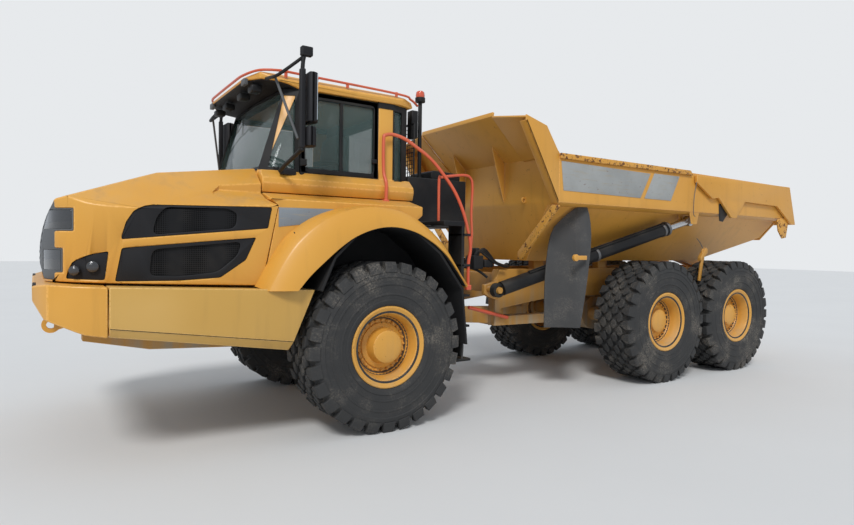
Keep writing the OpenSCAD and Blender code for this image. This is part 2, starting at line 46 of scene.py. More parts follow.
BODY_OF = {node: body for body, nodes in frame["record"]["behaviour"]["bodies"].items() for node in nodes}

CAMERA_PLACE = Vector((-5.090, -6.212, 1.722))
CAMERA_YAW = math.radians(33.25)
CAMERA_PITCH = math.radians(1.4)
CAMERA_ROLL = math.radians(0.78)
CAMERA_LENS = 25.27
CAMERA_SENSOR = 36
SUN_ENERGY = 1.7
SUN_ANGLE = math.radians(14)
SUN_TURN = (math.radians(42), math.radians(-12), math.radians(-28))
SKY_STRENGTH = 0.62
FLOOR_HALF = 60

# The front axle's place along the truck in metres, the sides, and the wheels' height in millimetres
FRONT_AXLE = -2.335
SIDES = {"left": -1, "right": 1}
WHEEL_HEIGHT = 795

# Metres within which corners are one, the angle below which faces are one, and that of a sharp edge
WELD = 0.00002
WELD_OF_CAD = 0.00004
FLAT = math.radians(0.4)
SHARP = math.radians(28)

# Lugs around each shoulder of a tyre, nuts on a wheel, and steps of a turned tyre
LUGS = 28
NUTS = 24
TYRE_STEPS = 84


class Amount:
    """A socket in a sum. Each operator adds the Math node that works it out."""

    def __init__(self, look, socket):
        self.look = look
        self.socket = socket

    def __add__(self, other):
        return self.look.maths("ADD", self, other)

    def __sub__(self, other):
        return self.look.maths("SUBTRACT", self, other)

    def __rsub__(self, other):
        return self.look.maths("SUBTRACT", other, self)

    def __mul__(self, other):
        return self.look.maths("MULTIPLY", self, other)

    __radd__ = __add__
    __rmul__ = __mul__

    def rise(self, low, high):
        """0 below low and 1 above high, with a smooth passage; falls where high is the lower."""
        return self.look.node("ShaderNodeMapRange", {"interpolation_type": "SMOOTHSTEP"},
                {"Value": self, "From Min": low, "From Max": high})


class Look:
    """A material in the making."""

    def __init__(self, name, **shader_values):
        self.material = bpy.data.materials.new(name)
        self.material.use_nodes = True
        self.tree = self.material.node_tree
        self.shader = self.tree.nodes["Principled BSDF"]
        for name_of_socket, value in shader_values.items():
            self.feed(self.shader.inputs[name_of_socket.replace("_", " ")], value)
        self.place = self.node("ShaderNodeTexCoord", output="Object")
        split = self.tree.nodes.new("ShaderNodeSeparateXYZ")
        self.feed(split.inputs[0], self.place)
        self.height = Amount(self, split.outputs["Z"])
        facing = self.tree.nodes.new("ShaderNodeSeparateXYZ")
        self.feed(facing.inputs[0], self.node("ShaderNodeTexCoord", output="Normal"))
        self.upward = Amount(self, facing.outputs["Z"])

    def feed(self, socket, value):
        if isinstance(value, Amount):
            self.tree.links.new(value.socket, socket)
        elif isinstance(value, tuple) and len(value) == 3 and len(socket.default_value) == 4:
            socket.default_value = (*value, 1)
        else:
            socket.default_value = value

    def node(self, kind, settings=None, inputs=None, output=0):
        made = self.tree.nodes.new(kind)
        for key, value in (settings or {}).items():
            setattr(made, key, value)
        for key, value in (inputs or {}).items():
            self.feed(made.inputs[key], value)
        return Amount(self, made.outputs[output])

    def maths(self, operation, first, second):
        return self.node("ShaderNodeMath", {"operation": operation}, {0: first, 1: second})

    def noise(self, scale, detail=3, stretch=(1, 1, 1), roughness=0.5):
        moved = self.node("ShaderNodeMapping", None, {"Vector": self.place, "Scale": stretch})
        return self.node("ShaderNodeTexNoise", None, {"Vector": moved, "Scale": scale, "Detail": detail,
                "Roughness": roughness})

    def colour(self, factor, first, second):
        """The first colour where the factor is 0, the second where it is 1."""
        return self.node("ShaderNodeMix", {"data_type": "RGBA"}, {0: factor, 6: first, 7: second},
                output=2)

    def edge(self):
        """1 on the narrow faces of rounded edges, 0 elsewhere."""
        return self.node("ShaderNodeAttribute", {"attribute_name": "edge"}, output="Fac")

    def bump(self, height, strength, distance):
        self.feed(self.shader.inputs["Normal"], self.node("ShaderNodeBump", None,
                {"Height": height, "Strength": strength, "Distance": distance}))

    def ends(self, **values):
        for name_of_socket, value in values.items():
            self.feed(self.shader.inputs[name_of_socket.replace("_", " ")], value)
        return self.material


DUST = (0.42, 0.34, 0.24)
RUST = (0.13, 0.05, 0.022)


def paint(name, tone, faded, dirt=0.3, rust=0.0, edge_wear_and_highlight=0.5, gloss=0.36, low=1.0):
    """Machine paint: clouds, dust on top and low down, rain streaks, rust spots, and pale edges: wear and
    painted highlight.
    """
    look = Look(name)
    clouds = look.noise(0.9, 3)
    speckle = look.noise(38, 5, roughness=0.7)
    streaks = look.noise(9, 4, (1, 1, 0.08))
    settled = look.upward.rise(0.35, 1.0) * 0.5 + (1 - look.height.rise(low * 0.35, low)) * 0.7 + 0.12
    dust = (settled * (clouds * 0.7 + streaks * 0.8).rise(0.45, 1.05) * dirt * 2.2).rise(0.02, 1.1)
    coat = look.colour(clouds.rise(0.3, 0.75), tone, faded)
    coat = look.colour(streaks.rise(0.52, 0.75) * 0.22, coat, tuple(c * 0.62 for c in tone))
    # Pale rounded edges: partly worn paint, partly a painted highlight where the edges catch the light.
    coat = look.colour(look.edge() * (speckle.rise(0.35, 0.6)) * edge_wear_and_highlight, coat,
            tuple(min(1, c * 1.25 + 0.06) for c in faded))
    coat = look.colour(dust, coat, DUST)
    chips = look.noise(17, 6, roughness=0.75).rise(0.69 - 0.16 * rust, 0.73 - 0.14 * rust)
    scars = (look.edge() * speckle.rise(0.5, 0.62) * rust + chips * rust).rise(0.1, 0.8)
    coat = look.colour(scars, coat, RUST)
    grain = look.noise(160, 2)
    look.bump(grain * 0.3 + speckle * 0.5 - scars * 0.8, 0.12, 0.004)
    return look.ends(Base_Color=coat, Roughness=dust * 0.45 + scars * 0.4 + speckle * 0.12
            + (gloss - 0.06))


def moulding(name, tone, dirt=0.3, rough=0.55, grain=220):
    """Moulded plastic or satin black paint: fine grain, grey dust in the clouded places and on top, and a
    painted highlight on rounded edges.
    """
    look = Look(name, Specular_IOR_Level=0.22)
    clouds = look.noise(2.1, 4)
    fine = look.noise(grain, 2)
    dust = ((look.upward.rise(0.2, 1.0) * 0.6 + 0.25) * clouds.rise(0.35, 0.8) * dirt)
    coat = look.colour(dust, tone, (0.30, 0.27, 0.22))
    # Rounded edges painted lighter all along: a painted highlight.
    coat = look.colour(look.edge() * 0.3, coat, tuple(c * 1.6 + 0.02 for c in tone))
    look.bump(fine * 0.5 + clouds * 0.3, 0.18, 0.002)
    return look.ends(Base_Color=coat, Roughness=dust * 0.5 + fine * 0.1 + rough)


def rubber(name, tone, dirt):
    """Dusty rubber, paler where mud has dried, with fine cracks."""
    look = Look(name)
    clouds = look.noise(3.2, 5, roughness=0.6)
    fine = look.noise(60, 5, roughness=0.7)
    cracks = look.noise(110, 3, (1, 1, 1))
    dust = (clouds.rise(0.38, 0.72) * fine.rise(0.3, 0.7) * dirt + look.edge() * 0.18).rise(0.0, 1.2)
    coat = look.colour(clouds, tone, tuple(c * 1.5 for c in tone))
    coat = look.colour(dust, coat, (0.27, 0.235, 0.19))
    look.bump(fine * 0.6 + cracks * 0.4, 0.3, 0.004)
    return look.ends(Base_Color=coat, Roughness=0.95 - fine * 0.25)


def metal(name, tone, rough, rust=0.15):
    """Steel or cast iron with a film of oil and dust and a little rust."""
    look = Look(name, Metallic=1.0)
    clouds = look.noise(6, 4)
    brushed = look.noise(30, 3, (1, 1, 14))
    spots = look.noise(24, 6, roughness=0.7).rise(0.66 - 0.3 * rust, 0.76 - 0.2 * rust)
    coat = look.colour(clouds * 0.5, tone, tuple(c * 0.7 for c in tone))
    coat = look.colour(spots * 0.8, coat, RUST)
    look.bump(brushed * 0.4 + spots * 0.6, 0.15, 0.002)
    return look.ends(Base_Color=coat, Roughness=clouds * 0.15 + spots * 0.4 + rough, Metallic=1 - spots)


def glazing(name, tone, alpha):
    """Tinted safety glass with a light film of dust in patches."""
    look = Look(name, IOR=1.5, Coat_Weight=0.3)
    film = look.noise(5, 5, (1, 1, 0.5)).rise(0.5, 0.85) * 0.12
    return look.ends(Base_Color=look.colour(film, tone, (0.5, 0.47, 0.4)), Roughness=film + 0.03,
            Alpha=film + alpha)


def lamp_glass(name, tone, rough=0.12):
    """Ribbed lamp glass over a dark or bright bowl, with painted glints along its ribs."""
    look = Look(name, Coat_Weight=0.8, IOR=1.5)
    ribs = look.node("ShaderNodeTexWave", {"bands_direction": "Z"}, {"Vector": look.place, "Scale": 46.0})
    clouds = look.noise(24, 3)
    look.bump(ribs, 0.25, 0.003)
    # Lighter bands along the ribs: painted glints.
    return look.ends(Base_Color=look.colour(ribs * 0.35 + clouds * 0.25, tone,
            tuple(min(1, c * 1.7 + 0.04) for c in tone)), Roughness=clouds * 0.12 + rough)


def cloth(name, tone):
    """Woven seat cover."""
    look = Look(name, Sheen_Weight=0.4)
    warp = look.node("ShaderNodeTexWave", {"bands_direction": "X"},
            {"Vector": look.place, "Scale": 190.0})
    weft = look.node("ShaderNodeTexWave", {"bands_direction": "Z"},
            {"Vector": look.place, "Scale": 190.0})
    clouds = look.noise(7, 3)
    look.bump(warp * weft, 0.4, 0.002)
    return look.ends(Base_Color=look.colour(warp * weft * 0.5 + clouds * 0.4, tone,
            tuple(c * 1.7 for c in tone)), Roughness=0.95 - clouds * 0.1)


def perforated(name, tone):
    """Black punched sheet: round holes in close rows, not cut but painted as dark pits: painted shade."""
    look = Look(name, Specular_IOR_Level=0.1)
    cells = look.node("ShaderNodeTexVoronoi", {"distance": "EUCLIDEAN"},
            {"Vector": look.place, "Scale": 62.0, "Randomness": 0.0})
    holes = cells.rise(0.42, 0.30)
    dust = look.noise(4, 4).rise(0.4, 0.8) * 0.25
    # The holes take the near-black tone: painted shade where real pits would be dark.
    coat = look.colour(holes, look.colour(dust, (0.016, 0.016, 0.017), (0.08, 0.07, 0.06)), tone)
    look.bump(1 - holes, 0.5, 0.004)
    return look.ends(Base_Color=coat, Roughness=holes * 0.4 + 0.5)


def worn_plate(name, tone):
    """A painted sign panel without its sign: scraped lengthways, streaked and chipped to the metal."""
    look = Look(name)
    scrapes = look.noise(14, 6, (0.18, 1, 2.2), 0.75)
    clouds = look.noise(2.4, 4)
    chips = look.noise(26, 6, (0.6, 1, 1), 0.8).rise(0.62, 0.66)
    coat = look.colour(clouds.rise(0.3, 0.7), tone, tuple(c * 0.8 for c in tone))
    coat = look.colour(scrapes.rise(0.52, 0.68) * 0.6, coat, (0.36, 0.30, 0.2))
    coat = look.colour(chips * 0.8, coat, RUST)
    look.bump(scrapes * 0.6 - chips * 0.5, 0.2, 0.003)
    return look.ends(Base_Color=coat, Roughness=clouds * 0.2 + chips * 0.3 + 0.38)


YELLOW = paint("yellow_paint", (0.70, 0.335, 0.045), (0.76, 0.385, 0.066))
SKIRT_YELLOW = paint("skirt_paint", (0.60, 0.345, 0.075), (0.66, 0.40, 0.11), dirt=0.45)
BODY_YELLOW = paint("body_paint", (0.66, 0.315, 0.045), (0.72, 0.36, 0.065), dirt=0.35, rust=0.45,
    edge_wear_and_highlight=0.8, gloss=0.44)
RUSTED_YELLOW = paint("scarred_paint", (0.66, 0.315, 0.045), (0.72, 0.36, 0.065), dirt=0.4, rust=1.0,
    edge_wear_and_highlight=0.8, gloss=0.5)
FRAME_YELLOW = paint("frame_paint", (0.52, 0.25, 0.04), (0.60, 0.31, 0.06), dirt=0.75, rust=0.35,
    gloss=0.5, low=1.6)
WHEEL_YELLOW = paint("wheel_paint", (0.66, 0.32, 0.045), (0.74, 0.38, 0.07), dirt=0.22, rust=0.5,
    gloss=0.42, low=1.3)
BLACK = moulding("black_paint", (0.012, 0.012, 0.013), rough=0.42, grain=90)
PLASTIC = moulding("black_plastic", (0.016, 0.016, 0.018), dirt=0.10)
LINER = moulding("liner_plastic", (0.016, 0.016, 0.017), dirt=0.12, rough=0.75)
GREY = moulding("grey_plastic", (0.11, 0.115, 0.12), dirt=0.25, rough=0.42)
STEEL = metal("bare_steel", (0.62, 0.62, 0.62), 0.2)
IRON = metal("cast_grey", (0.22, 0.22, 0.22), 0.5, rust=0.4)
RED = paint("red_paint", (0.66, 0.095, 0.04), (0.72, 0.15, 0.07), dirt=0.2, rust=0.2, gloss=0.34)
TYRE = rubber("tyre_rubber", (0.028, 0.028, 0.028), 0.8)
FLAP_RUBBER = rubber("flap_rubber", (0.050, 0.050, 0.050), 0.5)
GLASS = glazing("window_glass", (0.075, 0.125, 0.115), 0.42)
MIRROR = metal("mirror_glass", (0.75, 0.78, 0.8), 0.03, rust=0.0)
LENS = lamp_glass("clear_lens", (0.02, 0.022, 0.025))
AMBER = lamp_glass("amber_lens", (0.55, 0.07, 0.02))
MUD = moulding("dried_mud", (0.10, 0.065, 0.042), dirt=0.5, rough=0.9, grain=50)
# The vent mesh's holes are painted this near-black tone: painted shade in the pits.
MESH = perforated("vent_mesh", (0.004, 0.004, 0.004))
SEAT = cloth("seat_cloth", (0.055, 0.058, 0.06))
SILVER_PLATE = worn_plate("silver_plate", (0.26, 0.29, 0.32))
SIGN_PLATE = worn_plate("worn_grey_plate", (0.38, 0.39, 0.38))

FINISH = {
    "front_frame": FRAME_YELLOW, "front_axle": FRAME_YELLOW, "engine_block": IRON, "bumper": YELLOW,
    "side_skirts": SKIRT_YELLOW, "fenders": YELLOW, "fender_liners": LINER, "hood": YELLOW,
    "hood_vents": PLASTIC, "nose_grille": GREY, "cab_shell": YELLOW, "cab_roof": YELLOW,
    "cab_glass": GLASS, "cab_door": BLACK, "door_glass": GLASS, "cab_interior": PLASTIC,
    "mirrors": PLASTIC, "rails_steps": RED, "rear_deck": BLACK, "hitch": FRAME_YELLOW,
    "rear_frame": FRAME_YELLOW, "rear_axles": FRAME_YELLOW, "bed": BODY_YELLOW,
    "spill_guard": BODY_YELLOW, "bed_flaps": FLAP_RUBBER, "tailgate": BODY_YELLOW,
}

# The record's slot for each look. Blender numbers a look whose name is taken by one of the frame's,
# so the number is dropped when its slot is looked up.
OWN = "own"
SLOTS = {name: name for name in ("yellow_paint", "black_paint", "black_plastic", "grey_plastic",
    "bare_steel", "cast_grey", "red_paint", "tyre_rubber", "flap_rubber", "window_glass", "seat_cloth")}
SLOTS.update({name + "_paint": "yellow_paint" for name in ("skirt", "body", "scarred", "frame", "wheel")})
SLOTS.update({"liner_plastic": "black_plastic", "vent_mesh": "black_plastic"})


def finish_of(node):
    """The material of a CAD node."""
    if node.startswith("wheel"):
        return WHEEL_YELLOW
    if node.startswith("tyre"):
        return TYRE
    if "_rod_" in node:
        return STEEL
    return FINISH.get(node, BLACK)


for node, solid in NODES.items():
    for place in solid.material_slots:
        place.material = finish_of(node)


def placed(name, data, look, body, slot=OWN):
    """Puts a mesh or curve into the scene as a piece that rides on a body."""
    data.materials.append(look)
    made = bpy.data.objects.new(name, data)
    bpy.context.scene.collection.objects.link(made)
    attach(made, body)
    if slot == OWN:
        slot = SLOTS.get(look.name.split(".")[0])
    return made


def piece(name, mesh, look, body, slot=OWN):
    """Turns a bmesh into a piece that rides on a body."""
    data = bpy.data.meshes.new(name)
    mesh.to_mesh(data)
    mesh.free()
    return placed(name, data, look, body, slot)


def shade(mesh, smooth_faces=()):
    """Curved faces and rounded edges are shaded smooth, flat panels flat."""
    rounded_faces = set(smooth_faces)
    for face in mesh.faces:
        angles = [e.calc_face_angle(0) for e in face.edges]
        face.smooth = face in rounded_faces or any(0.01 < a < 0.45 for a in angles)
    for e in mesh.edges:
        e.smooth = e.calc_face_angle(0) < 0.85


def soften(mesh, width, segments=2):
    """Rounds the sharp edges and marks the new faces in the attribute "edge"."""
    mark = mesh.faces.layers.float.get("edge") or mesh.faces.layers.float.new("edge")
    sharp = [e for e in mesh.edges if e.is_manifold and e.calc_face_angle() > SHARP
            and e.calc_length() > width * 1.5]
    made = bmesh.ops.bevel(mesh, geom=sharp, offset=width, offset_type="OFFSET", affect="EDGES",
            segments=segments, profile=0.5, material=-1, clamp_overlap=False)
    for face in made["faces"]:
        face[mark] = 1
    return made["faces"]


def rounded(node, width):
    """A copy of a CAD node with rounded edges, which stands for it."""
    mesh = bmesh.new()
    mesh.from_mesh(NODES[node].data)
    bmesh.ops.remove_doubles(mesh, verts=mesh.verts, dist=WELD_OF_CAD)
    bmesh.ops.dissolve_limit(mesh, angle_limit=FLAT, verts=mesh.verts, edges=mesh.edges)
    shade(mesh, soften(mesh, width))
    made = piece(node + "_rounded", mesh, finish_of(node), BODY_OF[node], None)
    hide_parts(node)
    return made


def add_camera():
    """The photograph's viewpoint, turned by yaw, pitch and a slight roll."""
    ahead = Vector((math.sin(CAMERA_YAW) * math.cos(CAMERA_PITCH),
            math.cos(CAMERA_YAW) * math.cos(CAMERA_PITCH), -math.sin(CAMERA_PITCH)))
    right = Vector((math.cos(CAMERA_YAW), -math.sin(CAMERA_YAW), 0))
    up = right.cross(ahead)
    rolled_right = right * math.cos(CAMERA_ROLL) + up * math.sin(CAMERA_ROLL)
    rolled_up = up * math.cos(CAMERA_ROLL) - right * math.sin(CAMERA_ROLL)
    data = bpy.data.cameras.new("camera")
    data.lens = CAMERA_LENS
    data.sensor_width = CAMERA_SENSOR
    data.clip_end = 200
    camera = bpy.data.objects.new("camera", data)
    turn = Matrix((rolled_right, rolled_up, -ahead)).transposed()
    camera.matrix_world = Matrix.Translation(CAMERA_PLACE) @ turn.to_4x4()
    bpy.context.scene.collection.objects.link(camera)
    bpy.context.scene.camera = camera


def add_floor():
    """A plain pale floor."""
    ground = bmesh.new()
    bmesh.ops.create_grid(ground, x_segments=1, y_segments=1, size=FLOOR_HALF)
    look = Look("floor")
    clouds = look.noise(0.6, 3)
    look.ends(Base_Color=look.colour(clouds, (0.70, 0.70, 0.69), (0.74, 0.74, 0.73)), Roughness=0.9)
    data = bpy.data.meshes.new("floor")
    ground.to_mesh(data)
    ground.free()
    data.materials.append(look.material)
    floor = bpy.data.objects.new("floor", data)
    bpy.context.scene.collection.objects.link(floor)


def add_light():
    """An even sky, pale where it is seen, and a soft sun over the camera's shoulder."""
    world = bpy.data.worlds.new("sky")
    world.use_nodes = True
    tree = world.node_tree
    sky = tree.nodes["Background"]
    sky.inputs["Color"].default_value = (0.86, 0.92, 1.0, 1)
    sky.inputs["Strength"].default_value = SKY_STRENGTH
    seen = tree.nodes.new("ShaderNodeBackground")
    seen.inputs["Color"].default_value = (0.80, 0.82, 0.84, 1)
    path = tree.nodes.new("ShaderNodeLightPath")
    either = tree.nodes.new("ShaderNodeMath")
    either.operation = "ADD"
    either.use_clamp = True
    mixed = tree.nodes.new("ShaderNodeMixShader")
    for source, target in (
            (path.outputs["Is Camera Ray"], either.inputs[0]),
            (path.outputs["Is Transmission Ray"], either.inputs[1]),
            (either.outputs[0], mixed.inputs["Fac"]),
            (sky.outputs[0], mixed.inputs[1]),
            (seen.outputs[0], mixed.inputs[2]),
            (mixed.outputs[0], tree.nodes["World Output"].inputs["Surface"])):
        tree.links.new(source, target)
    bpy.context.scene.world = world
    data = bpy.data.lights.new("sun", "SUN")
    data.energy = SUN_ENERGY
    data.angle = SUN_ANGLE
    sun = bpy.data.objects.new("sun", data)
    sun.rotation_euler = SUN_TURN
    bpy.context.scene.collection.objects.link(sun)


def mm(x, y, z):
    """A point by its millimetres behind the front axle, to the right and up, as all forms below are drawn."""
    return Vector((x / 1000 + FRONT_AXLE, y / 1000, z / 1000))


def every(mesh):
    """All of a mesh, as its operators take it."""
    return list(mesh.verts) + list(mesh.edges) + list(mesh.faces)


def prism(corners, step):
    """A flat polygon made solid by a step, and the corners at its far end."""
    mesh = bmesh.new()
    face = mesh.faces.new([mesh.verts.new(corner) for corner in corners])
    moved = bmesh.ops.extrude_face_region(mesh, geom=[face])["geom"]
    far = [v for v in moved if isinstance(v, bmesh.types.BMVert)]
    bmesh.ops.translate(mesh, vec=step, verts=far)
    return mesh, far


def extruded(outline, start, end, direction="across"):
    """A flat outline made solid from start to end along one direction: "across" the truck takes
    (station, height), "along" it (offset, height), and "upward" (station, offset)."""
    place = {"across": lambda a, b, c: mm(a, c, b), "along": lambda a, b, c: mm(c, a, b),
            "upward": lambda a, b, c: mm(a, b, c)}[direction]
    mesh, _ = prism([place(a, b, start) for a, b in outline], place(0, 0, end) - place(0, 0, start))
    bmesh.ops.recalc_face_normals(mesh, faces=mesh.faces)
    return mesh


def block(low, high):
    """A box between two corners."""
    return extruded([(low[0], low[1]), (high[0], low[1]), (high[0], high[1]), (low[0], high[1])], low[2],
            high[2], "upward")


def trimmed(mesh, points, inside, sunk=0.0):
    """Cuts away what lies outside the plane through three points, sunk inwards, and closes the cut."""
    a, b, c = (mm(*p) for p in points)
    normal = (b - a).cross(c - a).normalized()
    if normal.dot(mm(*inside) - a) > 0:
        normal = -normal
    cut = bmesh.ops.bisect_plane(mesh, geom=every(mesh), dist=0.00001, plane_co=a - normal * sunk / 1000,
            plane_no=normal, clear_outer=True)["geom_cut"]
    bmesh.ops.edgeloop_fill(mesh, edges=[e for e in cut if isinstance(e, bmesh.types.BMEdge)])
    return mesh


def trimmed_twice(mesh, points, inside, sunk=0.0):
    """Trims a mesh by a plane and by the same plane on the other side of the truck."""
    trimmed(mesh, points, inside, sunk)
    trimmed(mesh, [(x, -y, z) for x, y, z in points], inside, sunk)


def both_halves(half):
    """An outline drawn on one side of the middle, completed on the other."""
    return half + [(x, -y) for x, y in reversed(half)]


def combined(first, second, how):
    """The union, difference or intersection of two closed meshes, both used up."""
    objects = []
    for mesh in (first, second):
        data = bpy.data.meshes.new("blank")
        mesh.to_mesh(data)
        mesh.free()
        blank = bpy.data.objects.new("blank", data)
        bpy.context.scene.collection.objects.link(blank)
        objects.append(blank)
    modifier = objects[0].modifiers.new("joint", "BOOLEAN")
    modifier.operation = how
    modifier.solver = "EXACT"
    modifier.object = objects[1]
    result = bmesh.new()
    result.from_object(objects[0], bpy.context.evaluated_depsgraph_get())
    for blank in objects:
        bpy.data.meshes.remove(blank.data)
    bmesh.ops.remove_doubles(result, verts=result.verts, dist=WELD)
    return result


def less(first, *others):
    """The first mesh with the others cut away."""
    for other in others:
        first = combined(first, other, "DIFFERENCE")
    return first


def common(first, *others):
    """What the closed meshes share."""
    for other in others:
        first = combined(first, other, "INTERSECT")
    return first


def joined(*meshes):
    """Meshes put together as they are, without a boolean."""
    first = meshes[0]
    for other in meshes[1:]:
        data = bpy.data.meshes.new("blank")
        other.to_mesh(data)
        other.free()
        first.from_mesh(data)
        bpy.data.meshes.remove(data)
    return first


def united(first, *others):
    """Closed meshes made one by booleans."""
    for other in others:
        first = combined(first, other, "UNION")
    return first


def on_both_sides(mesh):
    """A mesh made for one side, with its mirror image."""
    bmesh.ops.mirror(mesh, geom=every(mesh), axis="Y", merge_dist=0.0)
    bmesh.ops.recalc_face_normals(mesh, faces=mesh.faces)
    return mesh


def finished(name, mesh, look, body, width=0.006, replaces=(), slot=OWN, segments=2):
    """Rounds and shades a mesh and makes it a piece."""
    bmesh.ops.dissolve_limit(mesh, angle_limit=FLAT, verts=mesh.verts, edges=mesh.edges)
    shade(mesh, soften(mesh, width, segments) if width else ())
    made = piece(name, mesh, look, body, slot)
    if replaces:
        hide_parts(*replaces)
    return made


def on_side(side, points):
    """Points of the right side placed on a side, -1 for the left."""
    return [(x, side * y, z) for x, y, z in points]


def smooth_line(points, parts=4):
    """Points on a smooth curve through the given ones."""
    line = []
    for i in range(len(points) - 1):
        a, b, c, d = (Vector(points[max(i - 1, 0)]), Vector(points[i]), Vector(points[i + 1]),
                Vector(points[min(i + 2, len(points) - 1)]))
        for k in range(parts):
            t = k / parts
            line.append(0.5 * ((2 * b) + (c - a) * t + (2 * a - 5 * b + 4 * c - d) * t * t
                    + (3 * b - a - 3 * c + d) * t * t * t))
    line.append(Vector(points[-1]))
    return line


def rod(name, points, radius, look, body, smooth=True):
    """A bent bar, pipe or hose along points in millimetres."""
    curve = bpy.data.curves.new(name, "CURVE")
    curve.dimensions = "3D"
    curve.bevel_depth = radius / 1000
    curve.bevel_resolution = 2
    curve.use_fill_caps = True
    line = smooth_line(points, 5) if smooth and len(points) > 2 else [Vector(p) for p in points]
    spline = curve.splines.new("POLY")
    spline.points.add(len(line) - 1)
    for point, place in zip(spline.points, line):
        point.co = (*mm(*place), 1)
    return placed(name, curve, look, body)


def turned(profile, centre, axis, steps=40):
    """A closed or axis-ended profile of (radius, distance) turned about an axis through a point in metres."""
    mesh = bmesh.new()
    axis = Vector(axis).normalized()
    side = axis.orthogonal().normalized()
    line = [mesh.verts.new(centre + side * r + axis * d) for r, d in profile]
    edges = [mesh.edges.new(pair) for pair in zip(line, line[1:])]
    bmesh.ops.spin(mesh, geom=line + edges, cent=centre, axis=axis, angle=math.tau, steps=steps,
            use_merge=True)
    bmesh.ops.remove_doubles(mesh, verts=mesh.verts, dist=WELD)
    bmesh.ops.recalc_face_normals(mesh, faces=mesh.faces)
    return mesh


def cylinder(radius, low, high, centre, axis, steps):
    """A cylinder from low to high along an axis through a point, all in metres."""
    return turned([(0, low), (radius, low), (radius, high), (0, high)], centre, axis, steps)


def ring(inner, outer, half, centre, axis, steps):
    """A flat ring about an axis through a point, all in metres."""
    profile = [(inner, -half), (outer, -half), (outer, half), (inner, half), (inner, -half)]
    return turned(profile, centre, axis, steps)


# Hood
HOOD_PLANES = [
    [(-1900, 0, 2362), (-1100, 0, 2462), (-1100, -760, 2420)],
    [(-1900, 0, 2362), (-2500, 0, 2150), (-2500, -800, 2105)],
    [(-1100, -760, 2420), (-1060, -1205, 2075), (-2490, -1040, 2050)],
]
HOOD_MIDDLE = (-1800, 0, 1700)


def side_step(t):
    """The step along the hood's side that runs on under the cab."""
    step = extruded([(-960 + t, 2500), (-950 + t, 2190 - t), (-1300, 2040 - t), (-1300, 2500)],
            -1520 - t, -900, "along")
    reach = extruded([(-1410 - t, 2250), (-1505 - t, 2165), (-1505 - t, 2000), (-900, 2000),
            (-900, 2500), (-1410 - t, 2500)], -1400, -900)
    return common(step, reach)


def hood_body(t, steps=True):
    """The hood's outer form, or that form made smaller by t all round."""
    opening = 10 if t else 0
    side = smooth_line([(-2690 + t, 1435 - opening), (-2716 + t, 1520), (-2722 + t, 1640),
            (-2706 + t, 1800), (-2678 + t, 1930), (-2640 + t, 2035 - t / 2), (-2560 + t, 2110 - t / 2)],
            2)
    profile = side + [(-2400 + t, 2600), (-1072 + opening, 2600), (-1072 + opening, 2125),
            (-1005 + opening, 2066), (-1143 + opening, 1385 - opening)]
    plan = smooth_line([(-900, 1220 - t), (-1900, 1175 - t), (-2290, 1122 - t),
            (-2490 + t / 3, 1045 - t), (-2640 + t, 890 - t), (-2715 + t, 600), (-2735 + t, 250)], 3)
    mesh = common(extruded(profile, -1300, 1300), extruded(both_halves(plan), 1300, 2600, "upward"))
    for plane in HOOD_PLANES:
        trimmed_twice(mesh, plane, HOOD_MIDDLE, t)
    if steps:
        mesh = less(mesh, on_both_sides(side_step(t)))
    return mesh


def shrunk(outline, gap):
    """An outline drawn in towards its middle."""
    middle = sum((Vector(p) for p in outline), Vector((0, 0))) / len(outline)
    return [Vector(p) + (middle - Vector(p)).normalized() * gap for p in outline]


def rounded_outline(outline, cut):
    """An outline with each corner cut off in three short chords."""
    line = []
    count = len(outline)
    for i in range(count):
        here = Vector(outline[i])
        back = (Vector(outline[i - 1]) - here)
        on = (Vector(outline[(i + 1) % count]) - here)
        reach = min(cut, back.length * 0.4, on.length * 0.4)
        start = here + back.normalized() * reach
        end = here + on.normalized() * reach
        for t in (0, 0.33, 0.67, 1):
            line.append(start * (1 - t) ** 2 + here * 2 * t * (1 - t) + end * t * t)
    return line


UPPER_VENT = [
    (-2205, 1755), (-2172, 1890), (-2120, 1975), (-2040, 2020), (-1960, 2030), (-1057, 2050),
    (-1090, 1868),
]
LOWER_VENT = [(-2245, 1435), (-2200, 1690), (-1190, 1790), (-1275, 1600), (-1480, 1455), (-1800, 1435)]
LAMP_WINDOW = [(-2560, 1455), (-2520, 1580), (-2420, 1635), (-2285, 1665), (-2310, 1445)]
UPPER_MESH = [(-1990, 1795), (-1960, 1935), (-1895, 2015), (-1420, 2022), (-1345, 1985), (-1360, 1862)]
LOWER_MESH = [(-2010, 1475), (-1990, 1680), (-1310, 1752), (-1340, 1640), (-1500, 1500), (-1800, 1468)]
HEADLAMPS = [(1500, 1685, -2575), (1812, 1985, -2508)]


def window(outline, gap=0.0, corner=16):
    """One of the hood's side windows as a solid, with slightly rounded corners."""
    return extruded(rounded_outline(shrunk(outline, gap) if gap else outline, corner), -1300, -940)


def vent_windows(gap):
    """The side windows of both sides."""
    return on_both_sides(joined(window(UPPER_VENT, gap), window(LOWER_VENT, gap),
            window(LAMP_WINDOW, gap)))


def mesh_windows(gap):
    """The outlines of both sides' mesh fields as solids."""
    return on_both_sides(joined(window(UPPER_MESH, gap, 50), window(LOWER_MESH, gap, 50)))


def lamp_boxes(inset, behind):
    """Boxes around the headlamps' two rows, inset at top and bottom and drawn forward."""
    return [block((-2800, -1150, low + inset), (rear - behind, 1150, high - inset))
            for low, high, rear in HEADLAMPS]


def nose_window(gap):
    """The opening of the front insert, which steps back round the corners at the headlamps."""
    middle = block((-2800, -905 + gap, 1440 + gap), (-2500, 905 - gap, 2040 - gap))
    return united(middle, *lamp_boxes(gap, gap))


